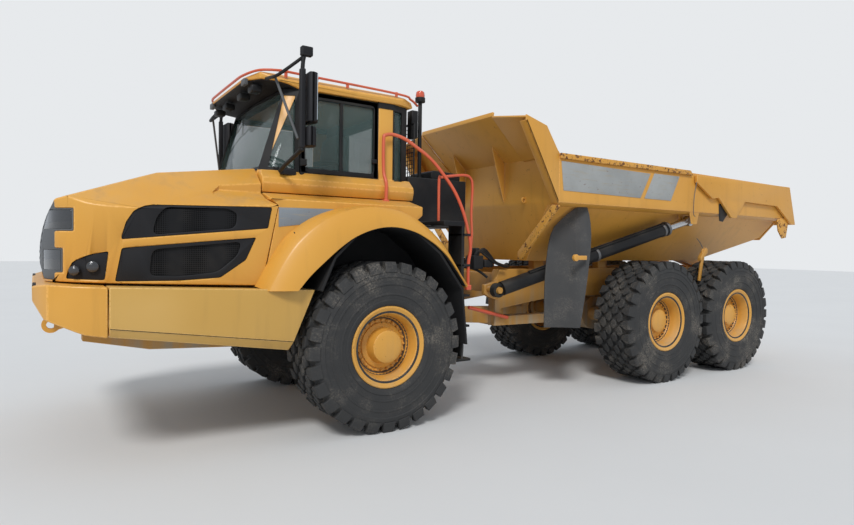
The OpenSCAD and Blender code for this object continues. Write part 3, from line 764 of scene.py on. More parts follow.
def add_hood():
    """The hood's skin, its side panels with their meshes, and the nose insert with the headlamps."""
    shell = less(hood_body(0), hood_body(25), nose_window(0), vent_windows(0))
    finished("hood_skin", shell, YELLOW, "hood", 0.010, ["hood"], segments=3)
    panels = common(less(hood_body(8), hood_body(45)), vent_windows(1))
    panels = less(panels, mesh_windows(0))
    finished("vent_panels", panels, PLASTIC, "hood", 0.004, ["hood_vents"])
    finished("vent_meshes", common(less(hood_body(26), hood_body(34)), mesh_windows(-6)), MESH, "hood", 0)
    insert = common(less(hood_body(8), hood_body(60)), nose_window(1))
    slots = [block((-2760, -560, z), (-2640, 560, z + 34)) for z in range(1530, 1960, 62)]
    insert = less(insert, joined(*slots))
    pockets = less(joined(*lamp_boxes(14, 12)), block((-2900, -640, 1300), (-2400, 640, 2200)))
    insert = less(insert, less(pockets, hood_body(30)))
    finished("nose_insert", insert, GREY, "hood", 0.004, ["nose_grille"])
    glass = less(joined(*lamp_boxes(15, 13)), block((-2900, -642, 1300), (-2400, 642, 2200)))
    finished("headlamps", common(glass, less(hood_body(10), hood_body(29))), LENS, "hood", 0.003,
            slot="black_plastic")


# Fender
CREASE = [(-1135, 1345, 75), (-1000, 1590, 75), (-860, 1775, 75), (-640, 1950, 50), (-340, 2065, 25),
          (0, 2085, 15), (310, 1995, 12), (640, 1740, 8), (905, 1330, 5)]
ARCH = [
    (-900, 1345), (-795, 1468), (-660, 1592), (-505, 1722), (-350, 1822), (-150, 1893), (50, 1908),
    (255, 1868), (400, 1802), (530, 1722), (665, 1600), (870, 1345),
]
WHEEL_CENTRE = Vector((0, WHEEL_HEIGHT))


def from_wheel(points, reach):
    """Points of (station, height) moved away from the wheel's centre by a reach each."""
    return [Vector(p) + (Vector(p) - WHEEL_CENTRE).normalized() * r for p, r in zip(points, reach)]


def even(line, count):
    """A line of points resampled at even distances."""
    lengths = [0.0]
    for a, b in zip(line, line[1:]):
        lengths.append(lengths[-1] + (b - a).length)
    result = []
    for k in range(count):
        goal = lengths[-1] * k / (count - 1)
        i = max(j for j in range(len(lengths)) if lengths[j] <= goal + 1e-9)
        i = min(i, len(line) - 2)
        span = lengths[i + 1] - lengths[i]
        result.append(line[i].lerp(line[i + 1], (goal - lengths[i]) / span))
    return result


def lofted(rows):
    """A sheet through rows of points with the same count, bridged one to the next."""
    mesh = bmesh.new()
    loops = []
    for row in rows:
        verts = [mesh.verts.new(p) for p in row]
        loops.append([mesh.edges.new(pair) for pair in zip(verts, verts[1:])])
    for first, second in zip(loops, loops[1:]):
        bmesh.ops.bridge_loops(mesh, edges=first + second)
    return mesh


def add_fenders():
    """The panels beside the hood and the flares over the front wheels."""
    top = smooth_line([c[:2] for c in CREASE], 5)
    step = smooth_line(from_wheel([c[:2] for c in CREASE], [c[2] for c in CREASE]), 5)
    low = smooth_line(ARCH, 4)
    count = 41

    rows = [[mm(p.x, -1196, p.y) for p in even(step, count)],
            [mm(p.x, -1212, p.y) for p in even(step, count)], [mm(p.x, -1346, p.y)
            for p in even(top, count)]]
    ends = even(low, count)
    for t, y in ((0.06, -1358), (0.5, -1405), (0.94, -1428)):
        rows.append([mm(a.lerp(b, t).x, y, a.lerp(b, t).y) for a, b in zip(even(top, count), ends)])
    rows.append([mm(p.x, -1427, p.y) for p in ends])
    rows.append([mm(p.x, -1400, p.y + 3) for p in ends])
    sheet = lofted(rows)
    bmesh.ops.recalc_face_normals(sheet, faces=sheet.faces)
    flares = on_both_sides(sheet)
    bmesh.ops.solidify(flares, geom=flares.faces[:], thickness=0.012)
    edge = [(-1137, 1345), (-999, 2066), (-1058, 2125), (-1058, 2300)]
    arch = smooth_line(ARCH, 4)

    panel = extruded(edge + [(470, 2300), (470, 2040), (300, 1900), (300, 1345)], -1205, -880)
    top_plane = extruded([(-1500, 1300), (-1500, 2045), (-950, 2192), (-850, 2192), (-850, 1300)], -1300,
            1000, "along")
    side = less(common(panel, top_plane), extruded(arch + [(900, 1200), (-800, 1200)], -1500, -870))
    finished("fender_panels", on_both_sides(side), YELLOW, "tractor", 0.008, ["fenders"])
    for face in flares.faces:
        face.smooth = True
    for e in flares.edges:
        e.smooth = e.calc_face_angle(0) < 0.6
    piece("fender_flares", flares, YELLOW, "tractor")


# Cab
SCREEN_PLANES = [
    [(-1050, -860, 2405), (-1078, 0, 2405), (-818, 0, 3250)],
    [(-1045, -800, 2405), (-940, -860, 2405), (-785, -790, 3250)],
]
CAB_MIDDLE = (-200, 0, 2700)


def cab_upper(o):
    """The cab above its sill, or that form made smaller by o all round."""
    mesh = extruded(both_halves([(-1300, 860 - o), (310, 860 - o), (520 - o, 780 - o)]), 2305, 3180,
            "upward")
    mesh = common(mesh, block((-1064 + o, -2000, 2000), (1000, 2000, 3500)))
    for plane in SCREEN_PLANES:
        trimmed_twice(mesh, plane, CAB_MIDDLE, o)
    return mesh


def cab_windows(g):
    """The cab's window openings, or the same made smaller by g."""
    front = block((-1300, -792 + g, 2440 + g), (-760, 792 - g, 3155 - g))
    right = extruded([(-900 + g, 2435 + g), (-800 + g, 3120 - g), (150 - g, 3120 - g),
            (150 - g, 2435 + g)], 660, 870)
    left = extruded([(-980 + 1.5 * g, 2435 + g), (-822 + g, 3120 - g), (-725 - g, 3120 - g),
            (-725 - g, 2435 + g)], -870, -660)
    quarter = on_both_sides(extruded([(330 + g, 2330 + g), (330 + g, 3120 - g), (450 - g, 3120 - g),
            (450 - g, 2330 + g)], -870, -660))
    back = block((440, -600 + g, 2500 + g), (600, 600 - g, 3100 - g))
    return united(front, right, left, quarter, back)


def add_cab():
    """The cab's body, panes, roof, black pillar covers and door, and the liners of the arches below it."""
    sill = extruded([(-930, 2204), (-955, 2285), (-945, 2335), (-860, 2410), (860, 2410), (945, 2335),
            (955, 2285), (930, 2204)], -1060, 520, "along")
    trimmed_twice(sill, SCREEN_PLANES[0], CAB_MIDDLE)
    base = block((-880, -690, 1500), (500, 690, 2206))
    shell = united(cab_upper(0), sill, base)
    inner = common(cab_upper(50), block((-2000, -2000, 2385), (2000, 2000, 3200)))
    doorway = extruded([(-691, 2406), (-691, 3190), (150, 3190), (150, 2406)], -870, -660)
    shell = less(shell, inner, block((-830, -640, 1900), (450, 640, 2440)), doorway, cab_windows(0))
    finished("cab_body", shell, YELLOW, "tractor", 0.008, ["cab_shell"])
    panes = common(less(cab_upper(10), cab_upper(18)), cab_windows(5))
    finished("cab_panes", panes, GLASS, "tractor", 0.002, ["cab_glass"])
    roof = extruded([(-1135, 3250), (-1130, 3275), (-1040, 3300), (-900, 3306), (-700, 3300),
            (350, 3285), (570, 3245), (600, 3195), (560, 3181), (-700, 3181), (-800, 3210)], -920, 920)
    plan = both_halves([(-1135, 560), (-1040, 800), (-900, 880), (400, 880), (625, 770)])
    roof = common(roof, extruded(plan, 3100, 3400, "upward"))
    trimmed_twice(roof, [(-1000, -860, 3255), (300, -860, 3255), (300, -800, 3300)], (-200, 0, 3200))
    finished("cab_top", roof, YELLOW, "tractor", 0.012, ["cab_roof"], segments=3)
    inner_wall = on_both_sides(block((-740, -804, 1300), (860, -792, 1900)))
    hoop = smooth_line(ARCH, 3)
    outer = from_wheel(hoop, [20] * len(hoop))
    near = from_wheel(hoop, [-6] * len(hoop))
    hoops = on_both_sides(extruded(near + outer[::-1], -1404, -792))
    finished("arch_liners", joined(inner_wall, hoops), LINER, "tractor", 0.003)
    lining = extruded([(-1128, 3247), (-1120, 3238), (-800, 3198), (-700, 3170), (-700, 3181),
            (-800, 3211)], -860, 860)
    lining = common(lining, extruded(both_halves([(-1125, 555), (-1030, 790), (-890, 870), (-600, 870)]),
            3100, 3300, "upward"))
    finished("visor_lining", lining, PLASTIC, "tractor", 0.004)
    skin = less(cab_upper(-4), cab_upper(53))
    covered = united(block((-1300, -900, 2412), (-680, 900, 3181)),
            block((-1300, -900, 3122), (600, 900, 3181)), block((316, -900, 2322), (600, 900, 3181)))
    doorway = extruded([(-687, 2410), (-687, 3180), (146, 3180), (146, 2410)], -890, -660)
    trim = less(common(skin, covered), doorway, cab_windows(4))
    jambs = [block((-690, -858, 2408), (-684, -806, 3178)), block((143, -858, 2408), (149, -806, 3178))]
    finished("pillar_covers", joined(trim, *jambs), BLACK, "tractor", 0)
    door = less(extruded([(-672, 2412), (-672, 3172), (142, 3172), (142, 2412)], -860, -812),
            extruded(rounded_outline([(-632, 2456), (-632, 3128), (100, 3128), (100, 2456)], 40), -900,
            -800))
    bar = block((-272, -856, 2440), (-240, -830, 3140))
    hinges = [cylinder(0.015, 0, 0.07, mm(-672, -873, z), (0, 0, 1), 16) for z in (2470, 3000)]
    tabs = [block((-672, -888, z), (-620, -858, z + 60)) for z in (2475, 3005)]
    handle = block((70, -884, 2560), (125, -858, 2600))
    door = joined(united(door, bar), handle, *hinges, *tabs)
    finished("door_leaf", door, BLACK, "door", 0.005, ["cab_door"])
    pane = extruded(rounded_outline([(-640, 2448), (-640, 3136), (108, 3136), (108, 2448)], 40), -840,
            -832)
    finished("door_pane", pane, GLASS, "door", 0.002, ["door_glass"])


# Tyres and wheels
WHEELS = {
    "front_left": (0, -1, 170), "front_right": (0, 1, 170), "mid_left": (4175, -1, 200),
    "mid_right": (4175, 1, 200), "rear_left": (5845, -1, 200), "rear_right": (5845, 1, 200),
}
WHEEL_Y = 1129
RIM_HALF = 270
SIDEWALL = [
    (0.318, 0.252), (0.384, 0.256), (0.392, 0.268), (0.412, 0.281), (0.440, 0.285), (0.447, 0.279),
    (0.486, 0.284), (0.490, 0.290), (0.502, 0.290), (0.507, 0.286), (0.580, 0.289),
    (0.584, 0.295), (0.597, 0.295), (0.602, 0.290), (0.648, 0.290), (0.655, 0.296),
    (0.666, 0.295), (0.700, 0.286), (0.732, 0.262), (0.748, 0.205), (0.753, 0.110),
]


def around(centre, angle, radius, offset):
    """A frame on a wheel: its axes run along the tread, across it and outwards."""
    out = Vector((math.cos(angle), 0, math.sin(angle)))
    along = Vector((-math.sin(angle), 0, math.cos(angle)))
    matrix = Matrix((along, Vector((0, 1, 0)), out)).transposed().to_4x4()
    matrix.translation = centre + out * radius + Vector((0, offset, 0))
    return matrix


def tread_block(outline, height):
    """A lug's outline (along the tread, across it) in metres made solid from below the crown."""
    mesh, top = prism([(a, b, 0) for a, b in outline], (0, 0, height))
    bmesh.ops.scale(mesh, vec=(0.9, 0.94, 1), verts=top)
    bmesh.ops.recalc_face_normals(mesh, faces=mesh.faces)
    return mesh


def tyre_mesh(centre):
    """A tyre's body with its lugs and blocks."""
    profile = [(r, y) for r, y in SIDEWALL] + [(r, -y) for r, y in reversed(SIDEWALL)]
    mesh = turned(profile + profile[:1], centre, (0, 1, 0), TYRE_STEPS)
    pieces = []
    pitch = math.tau / LUGS
    shoulder = [(-0.064, 0.296), (0.064, 0.296), (0.060, 0.225), (0.022, 0.172), (-0.028, 0.172),
            (-0.060, 0.225)]
    hexagon = [(-0.068, -0.016), (-0.036, -0.042), (0.036, -0.042), (0.068, -0.010), (0.036, 0.038),
            (-0.036, 0.038)]
    for i in range(LUGS):
        for side in (-1, 1):
            angle = (i + (0.5 if side > 0 else 0)) * pitch
            lug = tread_block([(a, b * side) for a, b in shoulder][::side], 0.0985)
            bmesh.ops.bisect_plane(lug, geom=every(lug), plane_co=(0, side * 0.270, 0.0985),
                    plane_no=(0, side * 0.93, 0.37), clear_outer=True)
            bmesh.ops.holes_fill(lug, edges=[e for e in lug.edges if e.is_boundary])
            bmesh.ops.transform(lug, matrix=around(centre, angle, 0.695, 0), verts=lug.verts)
            pieces.append(lug)
            for offset, phase in ((0.128, 0.5), (0.043, 0.0)):
                cube = tread_block([(a * side, b * side) for a, b in hexagon], 0.048)
                bmesh.ops.transform(cube, matrix=around(centre, angle + (phase + 0.02) * pitch, 0.742,
                        side * offset), verts=cube.verts)
                pieces.append(cube)
    for lug in pieces:
        bmesh.ops.recalc_face_normals(lug, faces=lug.faces)
        bmesh.ops.bevel(lug, geom=lug.edges[:], offset=0.005, segments=1, affect="EDGES", profile=0.5,
                material=-1)
    return joined(mesh, *pieces)


def add_wheels():
    """The tyres with their tread, the wheel nuts and the dirt in the wheels' dishes."""
    for place, (x, side, dish) in WHEELS.items():
        centre = mm(x, side * WHEEL_Y, WHEEL_HEIGHT)
        mesh = tyre_mesh(centre)
        for face in mesh.faces:
            face.smooth = True
        for e in mesh.edges:
            e.smooth = e.calc_face_angle(0) < 0.5
        made = piece("tread_" + place, mesh, TYRE, "wheel_" + place)
        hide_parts("tyre_" + place)
        disc = (RIM_HALF - dish) / 1000
        nuts = []
        for i in range(NUTS):
            spin = around(centre, i * math.tau / NUTS, 0.237, side * (disc + 0.008))
            nut = bmesh.new()
            bmesh.ops.create_cone(nut, cap_ends=True, segments=6, radius1=0.014, radius2=0.014,
                    depth=0.020, matrix=spin @ Matrix.Rotation(math.pi / 2, 4, "X"))
            bmesh.ops.create_cone(nut, cap_ends=True, segments=10, radius1=0.008, radius2=0.008,
                    depth=0.044, matrix=spin @ Matrix.Rotation(math.pi / 2, 4, "X"))
            nuts.append(nut)
        nuts = joined(*nuts)
        shade(nuts, soften(nuts, 0.0015, 1))
        piece("wheel_nuts_" + place, nuts, WHEEL_YELLOW, "wheel_" + place)
        mud = turned([(0.250, side * (disc - 0.004)), (0.252, side * (disc + 0.006)),
                (0.268, side * (disc + 0.014)), (0.281, side * (disc + 0.036)),
                (0.290, side * (disc + 0.034)), (0.288, side * (disc - 0.004)),
                (0.250, side * (disc - 0.004))], centre, (0, 1, 0), 48)
        shade(mud, mud.faces[:])
        piece("dish_dirt_" + place, mud, MUD, "wheel_" + place)


# Load body
def add_body():
    """Rails, pads and blank plates of the load body, and its spill guard."""
    band = extruded([(2200, 2752), (2200, 2812), (4650, 2812), (4700, 2752)], -1378, -1349)
    flange = extruded([(-1349, 2225), (-1255, 2235), (-690, 1690), (-690, 1600), (-745, 1600),
            (-1345, 2200)], 2185, 2225, "along")
    corner = extruded([(6960, 2235), (7270, 2300), (7290, 2150), (7240, 1960), (7130, 1945),
            (7010, 2060)], -1362, -1340)
    rail = joined(band, flange, corner)
    finished("body_rails", on_both_sides(rail), RUSTED_YELLOW, "bed", 0.006)

    pad = [(5380, 2160), (5360, 2400), (5640, 2400), (5655, 2330), (5470, 2150)]
    pads = on_both_sides(extruded(pad, -1358, -1348))
    finished("body_side_pads", pads, BLACK, "bed", 0.004)

    first = extruded([(2230, 2725), (3820, 2705), (3630, 2385), (2270, 2395)], -1355, -1349)
    second = extruded([(3900, 2715), (4430, 2715), (4250, 2385), (3710, 2385)], -1355, -1349)
    plates = joined(first, second)
    finished("body_blank_plates", on_both_sides(plates), SIGN_PLATE, "bed", 0.001)

    rows = [[mm(1700, -759, 3265), mm(1692, -1345, 3170)], [mm(1958, -759, 3020), mm(2000, -1345, 3083)],
            [mm(2205, -759, 2792), mm(2205, -1345, 2806)]]
    sheet = lofted(rows)
    bmesh.ops.recalc_face_normals(sheet, faces=sheet.faces)
    bmesh.ops.solidify(sheet, geom=sheet.faces[:], thickness=0.022)
    wing = extruded([(2200, 2245), (1910, 2750), (1690, 3120), (1692, 3180), (2000, 3095), (2180, 2835),
            (2200, 2822)], -1350, -1330)
    flange = extruded([(2200, 2245), (1910, 2750), (1690, 3120), (1707, 3130), (1927, 2760),
            (2217, 2255)], -1350, -1240)
    guard = joined(sheet, wing, flange)
    middle = extruded([(2200, 2790), (1700, 3262), (1708, 3312), (1730, 3304), (1724, 3270),
            (2222, 2797)], -760, 760)
    ribs = [extruded([(2190, 2300), (2190, 2790), (1980, 2985), (2060, 2700)], y, y + 16)
            for y in (-420, 404)]
    finished("front_spill_guard", joined(on_both_sides(guard), middle, *ribs), BODY_YELLOW, "bed", 0.004,
            ["spill_guard"])


# Mirrors, rails, deck and small pieces of the tractor
HANDRAIL = [
    (178, -979, 2190), (178, -979, 2360), (178, -925, 2480), (178, -915, 2800), (205, -915, 2850),
    (290, -920, 2862), (400, -960, 2825), (510, -1000, 2750), (640, -1030, 2660),
    (750, -1060, 2550), (880, -1150, 2330), (960, -1210, 2110), (1020, -1225, 1900),
    (1055, -1225, 1730), (1030, -1225, 1560), (1030, -1225, 1300),
]
LOOP = [
    (800, -1000, 2000), (800, -1000, 2430), (830, -1000, 2465), (1000, -1000, 2495), (1150, -1000, 2510),
    (1215, -1000, 2480), (1240, -1000, 2390), (1230, -1000, 2100), (1240, -1000, 1840),
    (1200, -1000, 1560),
]


def add_tractor_fittings():
    """Rails, mirrors, beacon, deck, steps and lamps of the tractor."""
    handrail = rod("handrail", HANDRAIL, 18, RED, "tractor")
    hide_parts("rails_steps")
    rod("deck_loop", LOOP, 15, RED, "tractor")
    foot = joined(block((150, -999, 2170), (206, -865, 2196)),
            block((1000, -1245, 1290), (1060, -1205, 1340)))
    finished("rail_feet", foot, RED, "tractor", 0.004)

    head = extruded(rounded_outline([(-805, -1190), (-810, -1400), (-740, -1415), (-690, -1300),
            (-730, -1190)], 30), 2785, 3200, "upward")
    small = extruded(rounded_outline([(-810, -1210), (-815, -1390), (-745, -1400), (-705, -1300),
            (-735, -1210)], 30), 2580, 2745, "upward")
    eye = block((-860, -1360, 3340), (-760, -1300, 3420))
    foot = extruded([(-880, -860), (-720, -866), (-730, -900), (-900, -960)], 2370, 2425, "upward")
    clamp = block((-868, -1356, 2560), (-822, -1304, 3230))
    heads = joined(head, small, eye, foot, clamp)
    finished("mirror_heads", on_both_sides(heads), PLASTIC, "tractor", 0.010, ["mirrors"], segments=3)
    for name, side in SIDES.items():
        arm = on_side(side, [(-900, 945, 2395), (-890, 1050, 2440), (-850, 1315, 2545),
                (-845, 1330, 2600), (-845, 1330, 3230), (-815, 1330, 3370)])
        rod("mirror_arm_" + name, arm, 18, BLACK, "tractor")
        faces = extruded([(-726, side * 1200), (-686, side * 1300), (-736, side * 1406),
                (-742, side * 1406), (-694, side * 1300), (-734, side * 1200)], 2800, 3185, "upward")
        finished("mirror_face_" + name, faces, MIRROR, "tractor", 0)

    for name, side in SIDES.items():
        rod("camera_bracket_" + name, on_side(side, [(-790, 1325, 3375), (-850, 1290, 3320),
                (-1000, 1180, 3190), (-1020, 1000, 3200), (-1000, 850, 3230)]), 15, BLACK, "tractor")
        rod("mirror_stay_" + name, on_side(side, [(-1000, 1080, 3200), (-870, 1300, 2640)]), 12, GREY,
                "tractor", smooth=False)
    half = [(650, 790, 3225), (530, 850, 3262), (350, 872, 3292), (-760, 876, 3315), (-880, 870, 3318),
            (-1045, 790, 3312), (-1128, 570, 3300), (-1142, 300, 3296)]
    rail = [(x, -y, z) for x, y, z in half] + half[::-1]
    rod("roof_rail", rail, 12, RED, "tractor")
    feet = [block((x, side * 872 - 7, 3262), (x + 30, side * 872 + 7, 3308)) for x in (-840, -220, 330)
            for side in (-1, 1)]
    finished("roof_rail_feet", joined(*feet), RED, "tractor", 0.004)
    caps = on_both_sides(block((-1140, -640, 3205), (-1100, -540, 3262)))
    finished("visor_caps", caps, GREY, "tractor", 0.006)
    lamps = on_both_sides(joined(block((-1085, -690, 3140), (-985, -560, 3205)),
            block((-1085, -330, 3140), (-985, -200, 3205))))
    finished("visor_work_lamps", lamps, BLACK, "tractor", 0.015, slot="black_plastic")
    mast = cylinder(0.022, 0, 1.37, mm(780, -640, 1960), (0, 0, 1), 20)
    collar = cylinder(0.055, 0, 0.05, mm(780, -640, 3310), (0, 0, 1), 24)
    finished("beacon_mast", joined(mast, collar), BLACK, "tractor", 0.003)
    lens = turned([(0, 0), (0.048, 0), (0.050, 0.03), (0.044, 0.062), (0.030, 0.074), (0, 0.076)],
            mm(780, -640, 3358), (0, 0, 1), 28)
    finished("beacon_lens", lens, AMBER, "tractor", 0.004)
    boxes = joined(block((640, -700, 2900), (720, -600, 3200)),
            block((600, -330, 2900), (690, -200, 3120)))
    finished("deck_boxes", boxes, BLACK, "tractor", 0.01)
    cover = common(extruded(rounded_outline([(900, 2465), (900, 2580), (1290, 2560), (1290, 2465)], 60),
            -700, -250), block((800, -800, 2400), (1400, 0, 2600)))
    post_frame = joined(block((640, -745, 2465), (658, -725, 3060)),
            block((640, -255, 2465), (658, -235, 3060)), block((640, -745, 3040), (658, -235, 3060)))
    finished("deck_cover", joined(cover, post_frame), BLACK, "tractor", 0.008)
    wires = [block((645, -730, z), (652, -250, z + 6)) for z in range(2490, 3040, 42)]
    wires += [block((644, y, 2466), (651, y + 6, 3050)) for y in range(-700, -250, 42)]
    finished("deck_guard", joined(*wires), BLACK, "tractor", 0)
    treads = [block((925, -1250, z), (1040, -1010, z + 24)) for z in (905, 1220, 1535, 1850)]
    low_step = block((830, -1290, 560), (1030, -1000, 585))
    finished("ladder_treads", joined(low_step, *treads), BLACK, "tractor", 0.004)
    for k, y in enumerate((-1270, -1020)):
        rod("step_cable_" + str(k), [(930, y, 575), (940, y, 700), (942, y + 10, 800),
                (942, y + 20, 900)], 9, FLAP_RUBBER, "tractor")

    large = turned([(0, 0), (0.036, 0), (0.036, 0.030), (0.020, 0.037), (0, 0.039)],
            mm(-2500, -1048, 1518), Vector((-0.35, -0.93, 0)), 24)
    other = turned([(0, 0), (0.042, 0), (0.042, 0.030), (0.024, 0.037), (0, 0.039)],
            mm(-2385, -1085, 1548), Vector((-0.25, -0.96, 0)), 24)
    lamps = joined(large, other)
    finished("corner_lamps", on_both_sides(lamps), LENS, "hood", 0.003)

    cones = turned([(0, 0), (0.034, 0), (0.046, 0.05), (0.050, 0.10), (0.044, 0.104), (0, 0.098)],
            mm(-770, -1222, 1812), (-1, 0, -0.14), 24)
    finished("side_lamps", on_both_sides(cones), BLACK, "tractor", 0.003, slot="black_plastic")


# Bumper and skirts
SKIRT = [(-2302, 1405), (-715, 1345), (-935, 830), (-2302, 1035)]
EYE_SIDE = -850
SKIRT_CREASE = [(-2300, -1340, 1100), (-905, -1340, 905), (-935, -1295, 830)]


def add_bumper():
    """The bumper with its towing eyes, the skirts, and the fenders' blank plates."""
    side = [(-2770, 1300), (-2770, 1405), (-2690, 1424), (-2310, 1405), (-2310, 1035), (-2450, 1060),
            (-2700, 1170)]
    plan = both_halves([(-2308, 1338), (-2520, 1300), (-2680, 1190), (-2770, 1010)])
    bumper = common(extruded(side, -1345, 1345), extruded(plan, 1000, 1450, "upward"))
    bumper = less(bumper, block((-2690, -1090, 1120), (-2300, 1090, 1360)),
            block((-2440, -1090, 1000), (-2300, 1090, 1360)))

    lug = extruded([(-2560, 1120), (-2540, 1230), (-2420, 1230), (-2420, 1150), (-2560, 1075)],
            EYE_SIDE - 18, EYE_SIDE + 18)
    eye = ring(0.030, 0.062, 0.018, mm(-2650, EYE_SIDE, 1100), (0, 1, 0), 28)
    arm = extruded([(-2630, 1050), (-2630, 1150), (-2530, 1190), (-2500, 1090)], EYE_SIDE - 16,
            EYE_SIDE + 16)
    hook = block((-2600, -505, 1110), (-2500, -390, 1240))
    fittings = joined(lug, eye, arm, hook)
    finished("bumper_shell", joined(bumper, on_both_sides(fittings)), YELLOW, "tractor", 0.012,
            ["bumper"], segments=3)
    strip = on_both_sides(block((-2768, -1000, 1400), (-2742, -640, 1412)))
    finished("bumper_trim", strip, PLASTIC, "tractor", 0.004)

    shape = trimmed(extruded(SKIRT, -1340, -800), SKIRT_CREASE, (-1500, -900, 1300))
    hollow = extruded([(-2330, 1380), (-740, 1320), (-945, 850), (-2330, 1060)], -1318, -799)
    trimmed(hollow, SKIRT_CREASE, (-1500, -900, 1300), 22)
    skirt = less(shape, hollow)
    finished("skirt_panels", on_both_sides(skirt), SKIRT_YELLOW, "tractor", 0.010, ["side_skirts"],
            segments=3)
    seam = on_both_sides(extruded([(-2296, 1098), (-908, 904), (-906, 908), (-2296, 1102)], -1342.5,
            -1338))
    finished("skirt_seams", seam, LINER, "tractor", 0, slot=None)

    plate = [(-1000, 2052), (-330, 2062), (-560, 1985), (-690, 1925), (-1000, 1885)]
    plates = on_both_sides(extruded(plate, -1209, -1203))
    finished("fender_blank_plates", plates, SILVER_PLATE, "tractor", 0.001)


def add_gate_apron():
    """The lower part of the tailgate, which closes the chute between the body's sloping sides."""
    plate = extruded([(7316, 2200), (7352, 2200), (7306, 1925), (7272, 1925)], -1200, 1200)
    outline = extruded([(-1135, 2200), (-918, 1925), (918, 1925), (1135, 2200)], 7200, 7440, "along")
    finished("gate_apron", common(plate, outline), BODY_YELLOW, "tailgate", 0.006)


FLAP = [
    (2340, 790), (2340, 1400), (2400, 1900), (2530, 2105), (2610, 2195), (2645, 2226), (2740, 2226),
    (2790, 1900), (2760, 1400), (2690, 790),
]


def add_flaps():
    """The shaped rubber flaps ahead of the bogie."""
    bend = smooth_line([(2330, -1000), (2450, -1045), (2570, -1130), (2680, -1235), (2800, -1302)], 4)
    inner = [(p.x - 5, p.y - 14) for p in bend]
    body = extruded(bend + inner[::-1], 780, 2229, "upward")
    outline = smooth_line(FLAP, 3)
    sheet = common(body, extruded(outline, -1350, -950))
    finished("rubber_flaps", on_both_sides(sheet), FLAP_RUBBER, "bed", 0.003, ["bed_flaps"])


# Cylinders, hoses and rigging
def add_rigging():
    """Wires, hoses, valves, and the hoisting cylinders' rods, clamps and pipes."""
    leg = extruded([(5200, 1300), (5150, 1310), (5230, 1760), (5290, 1750)], -1210, -1185)
    jaw = extruded([(5170, 1590), (5170, 1640), (5290, 1780), (5330, 1760), (5330, 1700)], -1225, -1170)
    fork = joined(leg, jaw)
    finished("wire_anchors", on_both_sides(fork), FRAME_YELLOW, "rear_frame", 0.005)
    low = Vector((1800, -780, 1235))
    high = Vector((4800, -1250, 2145))
    for name, side in SIDES.items():
        direction = (high - low).normalized()
        direction.y *= -side
        foot = Vector((low.x, low.y * -side, low.z))

        def on_line(distance, across=0.0, up=0.0):
            return foot + direction * distance + Vector((0, across * side, up))

        rings = []
        for distance, reach in ((700, 92), (1500, 92), (2665, 94), (2740, 98)):
            rings.append(ring(0.07, reach / 1000, 0.018, mm(*on_line(distance)), direction, 36))
        finished("hoist_clamps_" + name, joined(*rings), IRON, "hoist_barrel_" + name, 0.003)
        shaft = cylinder(0.049, 0.25, 2.56, mm(*foot), direction, 32)
        finished("hoist_shaft_" + name, shaft, STEEL, "hoist_rod_" + name, 0)
        for k, (across, up) in enumerate(((58, 84), (30, 96))):
            hose = [on_line(d, across, up) for d in (420, 700, 1500, 2600)]
            hose.append(on_line(2690, across * 0.9, 70))
            rod("hoist_pipe_{}_{}".format(name, k), hose, 11, BLACK, "hoist_barrel_" + name, smooth=False)
        wire = on_side(side, [(4730, 1408, 2655), (4690, 1404, 2440), (4700, 1395, 2235),
                (4760, 1380, 2200)])
        rod("gate_wire_" + name, wire, 5, IRON, "bed")
        rod("anchor_wire_" + name, on_side(side, [(5245, 1198, 1770), (5150, 1215, 1850),
                (5040, 1235, 1905)]), 5, IRON, "rear_frame")
        rod("frame_hose_{}_0".format(name), on_side(side, [(1150, 300, 1420), (1400, 420, 1500),
                (1620, 560, 1480), (1760, 640, 1380)]), 16, BLACK, "rear_frame")
    valve = joined(block((1560, -640, 1480), (1700, -470, 1640)),
            block((1720, -640, 1500), (1850, -480, 1590)), block((1600, -620, 1640), (1660, -500, 1730)))
    finished("valve_block", valve, BLACK, "rear_frame", 0.012)
    for k in range(4):
        y = -610 + 45 * k
        rod("valve_hose_" + str(k), [(1580 + 40 * k, y, 1620), (1640 + 60 * k, y - 20, 1690 + 10 * k),
                (1850 + 50 * k, y - 30, 1560), (2050 + 60 * k, y - 10, 1500)], 13, BLACK, "rear_frame")
    rod("hitch_lock_bar", [(1510, -610, 1030), (2110, -610, 880)], 22, RED, "rear_frame", smooth=False)
    hook = ring(0.020, 0.038, 0.012, mm(2178, -790, 2310), (0, 1, 0), 20)
    finished("body_hook", hook, BODY_YELLOW, "bed", 0.003)
    tag = joined(block((2500, -1335, 1605), (2700, -1310, 1655)),
            cylinder(0.040, -0.02, 0.02, mm(2520, -1322, 1630), (0, 1, 0), 20))
    finished("flap_brackets", on_both_sides(tag), BODY_YELLOW, "bed", 0.004)


def cushion(name, centre, size, tilt=0.0):
    """A padded form: crowned faces, rounded corners, and sides that pull in between the corners."""
    mesh = bmesh.new()
    bmesh.ops.create_cube(mesh, size=2)
    bmesh.ops.subdivide_edges(mesh, edges=mesh.edges[:], cuts=9, use_grid_fill=True)
    for v in mesh.verts:
        a, b, c = v.co
        reach = (abs(a) ** 5 + abs(b) ** 5 + abs(c) ** 5) ** -0.2
        pull = 1 - 0.05 * (1 - a * a) * (1 - b * b)
        v.co = Vector((a * (1 - 0.04 * (1 - b * b)), b * (1 - 0.04 * (1 - a * a)), c * pull)) * reach
    bmesh.ops.scale(mesh, vec=[s / 2000 for s in size], verts=mesh.verts)
    turn = Matrix.Translation(mm(*centre)) @ Matrix.Rotation(math.radians(tilt), 4, "Y")
    bmesh.ops.transform(mesh, matrix=turn, verts=mesh.verts)
    shade(mesh, mesh.faces[:])
    made = piece(name, mesh, SEAT, "tractor")
    return made


